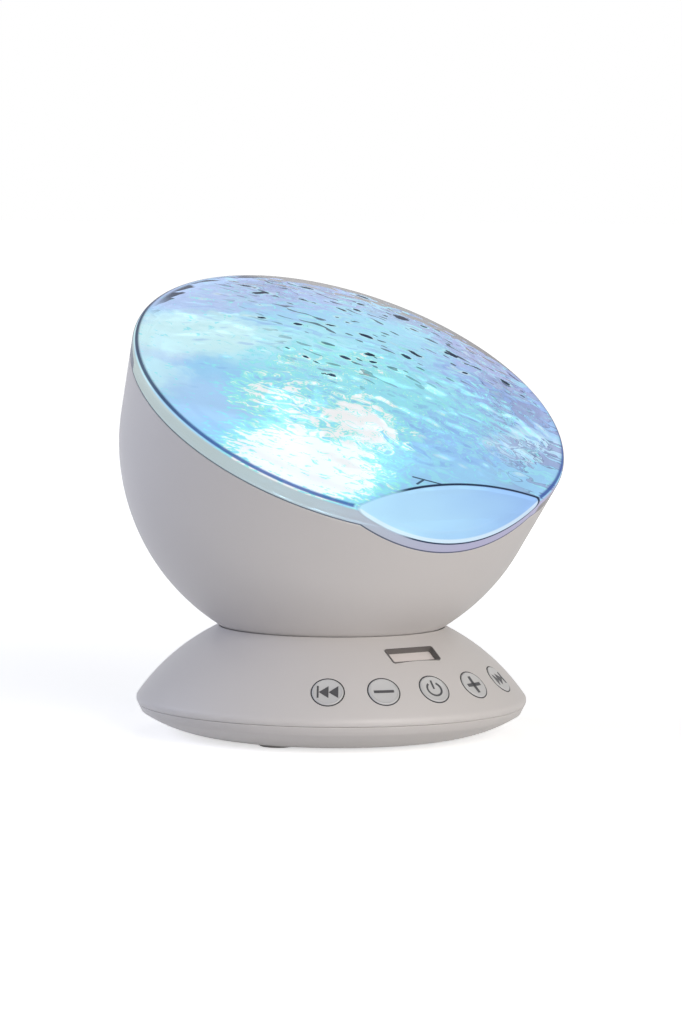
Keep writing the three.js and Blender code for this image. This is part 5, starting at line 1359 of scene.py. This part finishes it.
pressed_ripples = ripple_tree()
CROWN_VALUES = {
    "Rim": 57.0, "Fade": 5.0, "Lowest": COVER_RIM - 1.5, "Crown Centre": (0.0, 0.0, CROWN_CENTRE),
    "Facet Place": tuple(FACET_PLACE), "Facet Normal": tuple(FACET_NORMAL), "Finish": acrylic,
    "Turn": STREAK_TURN, "Stretch": (0.7, 1.1, 1.0), "Calm Side": -52.0, "Rough Side": -16.0,
    "Calm": 0.35,
}
outer_form = grown(
    "cover_form", pressed_ripples,
    {
        "Depth": 0.6, "Length": 9.0, "Fine Depth": 0.85, "Fine Length": 3.7, "Seed": 3.0,
        **CROWN_VALUES,
    },
    crowned("cover_form", 0, -8),
)
inner_form = grown(
    "cover_hollow", pressed_ripples,
    {
        "Depth": 1.0, "Length": 8.0, "Fine Depth": 0.8, "Fine Length": 3.8, "Seed": 11.0,
        **CROWN_VALUES,
    },
    crowned("cover_hollow", COVER_WALL, -13),
)


def below_joint(rise):
    """Everything under the line where bowl and cover meet, moved up by a rise."""
    lower = box("below_joint", BIG, BIG, -BIG, BOWL_EDGE + rise)
    return worked(lower, [beyond_facet(FACET_EDGE_DEPTH - rise * math.cos(FACET_TILT))])


cover = worked(outer_form, [beyond_facet(0)])
worked(inner_form, [beyond_facet(COVER_WALL)])
worked(cover, [inner_form, below_joint(JOINT_GAP)])
lip_out, lip_in = LIP_INSET, LIP_INSET + LIP_WALL
foot_ring = turned("foot_ring", [
    (wall_radius(-2, lip_in), -2), (wall_radius(-2), -2), (wall_radius(16), 16),
    (wall_radius(16, lip_in), 16),
], HEAD_STEPS)
worked(foot_ring, [beyond_facet(0), below_joint(JOINT_GAP)])
worked(foot_ring, [below_joint(LIP_RISE)], "INTERSECT")
lip = turned("lip", [
    (wall_radius(-4, lip_in), -4), (wall_radius(-4, lip_out), -4), (wall_radius(15, lip_out), 15),
    (wall_radius(15, lip_in), 15),
], HEAD_STEPS)
worked(lip, [beyond_facet(0.3), below_joint(-LIP_DROP)])
worked(lip, [below_joint(LIP_RISE)], "INTERSECT")
worked(cover, [foot_ring, lip], "UNION")
cover.name = "rippled_cover"
finished(cover, acrylic, "head", HEAD, ["wave_cover"], math.radians(25))

# The inner parts: boards, motor, speaker, screws and LEDs, which show only through the grille, the
# sockets and the slot. They keep the frame's own shapes and take their materials here.
# Zinc-plated steel: a pale grey metal, with a dull shimmer that varies over its rolled surface.
steel_finish, tree = blank_material("zinc_plated_steel")
place = node(tree, "TexCoord").outputs["Object"]
brushed = node(tree, "TexNoise", None, {"Vector": place, "Scale": 1 / (1.2 * MM), "Detail": 4.0})
worn = node(tree, "MapRange", None, {
    "Value": brushed.outputs["Fac"], "To Min": 0.22, "To Max": 0.42,
})
pitted = node(tree, "Bump", None, {
    "Height": brushed.outputs["Fac"], "Strength": 0.3, "Distance": 0.01 * MM,
})
body = node(tree, "BsdfPrincipled", None, {
    "Base Color": node(tree, "Mix", COLOURS, {
        0: brushed.outputs["Fac"], 6: linear("#a9adb3"), 7: linear("#bfc1c2"),
    }).outputs[2],
    "Metallic": 1.0, "Roughness": worn.outputs[0], "Normal": pitted.outputs[0],
})
node(tree, "OutputMaterial", None, {"Surface": body.outputs[0]})
# Cast epoxy: clear and glossy, and bright with its own light.
led_finish, tree = blank_material("water_clear_led_epoxy")
place = node(tree, "TexCoord").outputs["Object"]
flow = node(tree, "TexNoise", None, {
    "Vector": place, "Scale": 1 / (0.8 * MM), "Detail": 2.0,
}).outputs["Fac"]
wavy = node(tree, "Bump", None, {"Height": flow, "Strength": 0.3, "Distance": 0.02 * MM})
body = node(tree, "BsdfPrincipled", None, {
    "Base Color": node(tree, "Mix", COLOURS, {
        0: flow, 6: linear("#e4f4ff"), 7: linear("#f6fcff"),
    }).outputs[2],
    "Roughness": node(tree, "MapRange", SMOOTH, [flow, 0.3, 0.7, 0.08, 0.2]),
    "Normal": wavy.outputs[0], "Transmission Weight": 0.6,
    "Emission Color": node(tree, "Mix", COLOURS, {
        0: flow, 6: linear("#c4ecff"), 7: linear("#e6f8ff"),
    }).outputs[2],
    "Emission Strength": 4.0,
})
node(tree, "OutputMaterial", None, {"Surface": body.outputs[0]})
# Solder mask looks like blotchy lacquer, nylon and acetal like dull satin, pressed paper and
# ferrite dry and rough, and wire insulation smooth. They share the moulded plastic's grain.
green_board = moulded_plastic("green_solder_mask", "#2c6a44", 0.35, grain=1.2, mottle=0.2)
white_board = moulded_plastic("white_solder_mask", "#e3e6e2", 0.4, grain=1.2)
black_plastic = moulded_plastic("black_nylon", "#232427", 0.5, grain=0.4)
natural_plastic = moulded_plastic("natural_acetal", "#cfcfca", 0.45, grain=0.4)
paper = moulded_plastic(
    "black_speaker_paper", "#2b2a2b", 0.9, grain=0.8, grain_depth=0.05, mottle=0.2,
)
magnet = moulded_plastic("grey_ferrite", "#47474b", 0.6, grain=0.6, mottle=0.2)
wire = moulded_plastic("red_wire_insulation", "#a3262d", 0.45, grain=0.8)
INNER_FINISHES = (
    (steel_finish, "screw", "power_socket", "drive_motor", "motor_shaft"),
    (led_finish, "led_1", "led_2", "led_3", "led_4", "led_5", "led_6", "led_7", "led_8", "led_9"),
    (white_board, "led_board"),
    (green_board, "main_board", "key_board"),
    (black_plastic, "gearbox_case", "audio_socket", "board_chip", "key_switch", "remote_receiver",
     "speaker_frame"),
    (natural_plastic, "motor_bracket", "tilt_saddle", "disc_hub", "disc_cap"),
    (paper, "speaker_cone"),
    (magnet, "speaker_magnet", "board_capacitor"),
    (wire, "motor_lead"),
)
for material, *words in INNER_FINISHES:
    for name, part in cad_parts.items():
        if any(word in name for word in words) and not part.hide_render:
            for place_in_mesh in range(max(1, len(part.data.materials))):
                if place_in_mesh < len(part.data.materials):
                    part.data.materials[place_in_mesh] = material
                else:
                    part.data.materials.append(material)
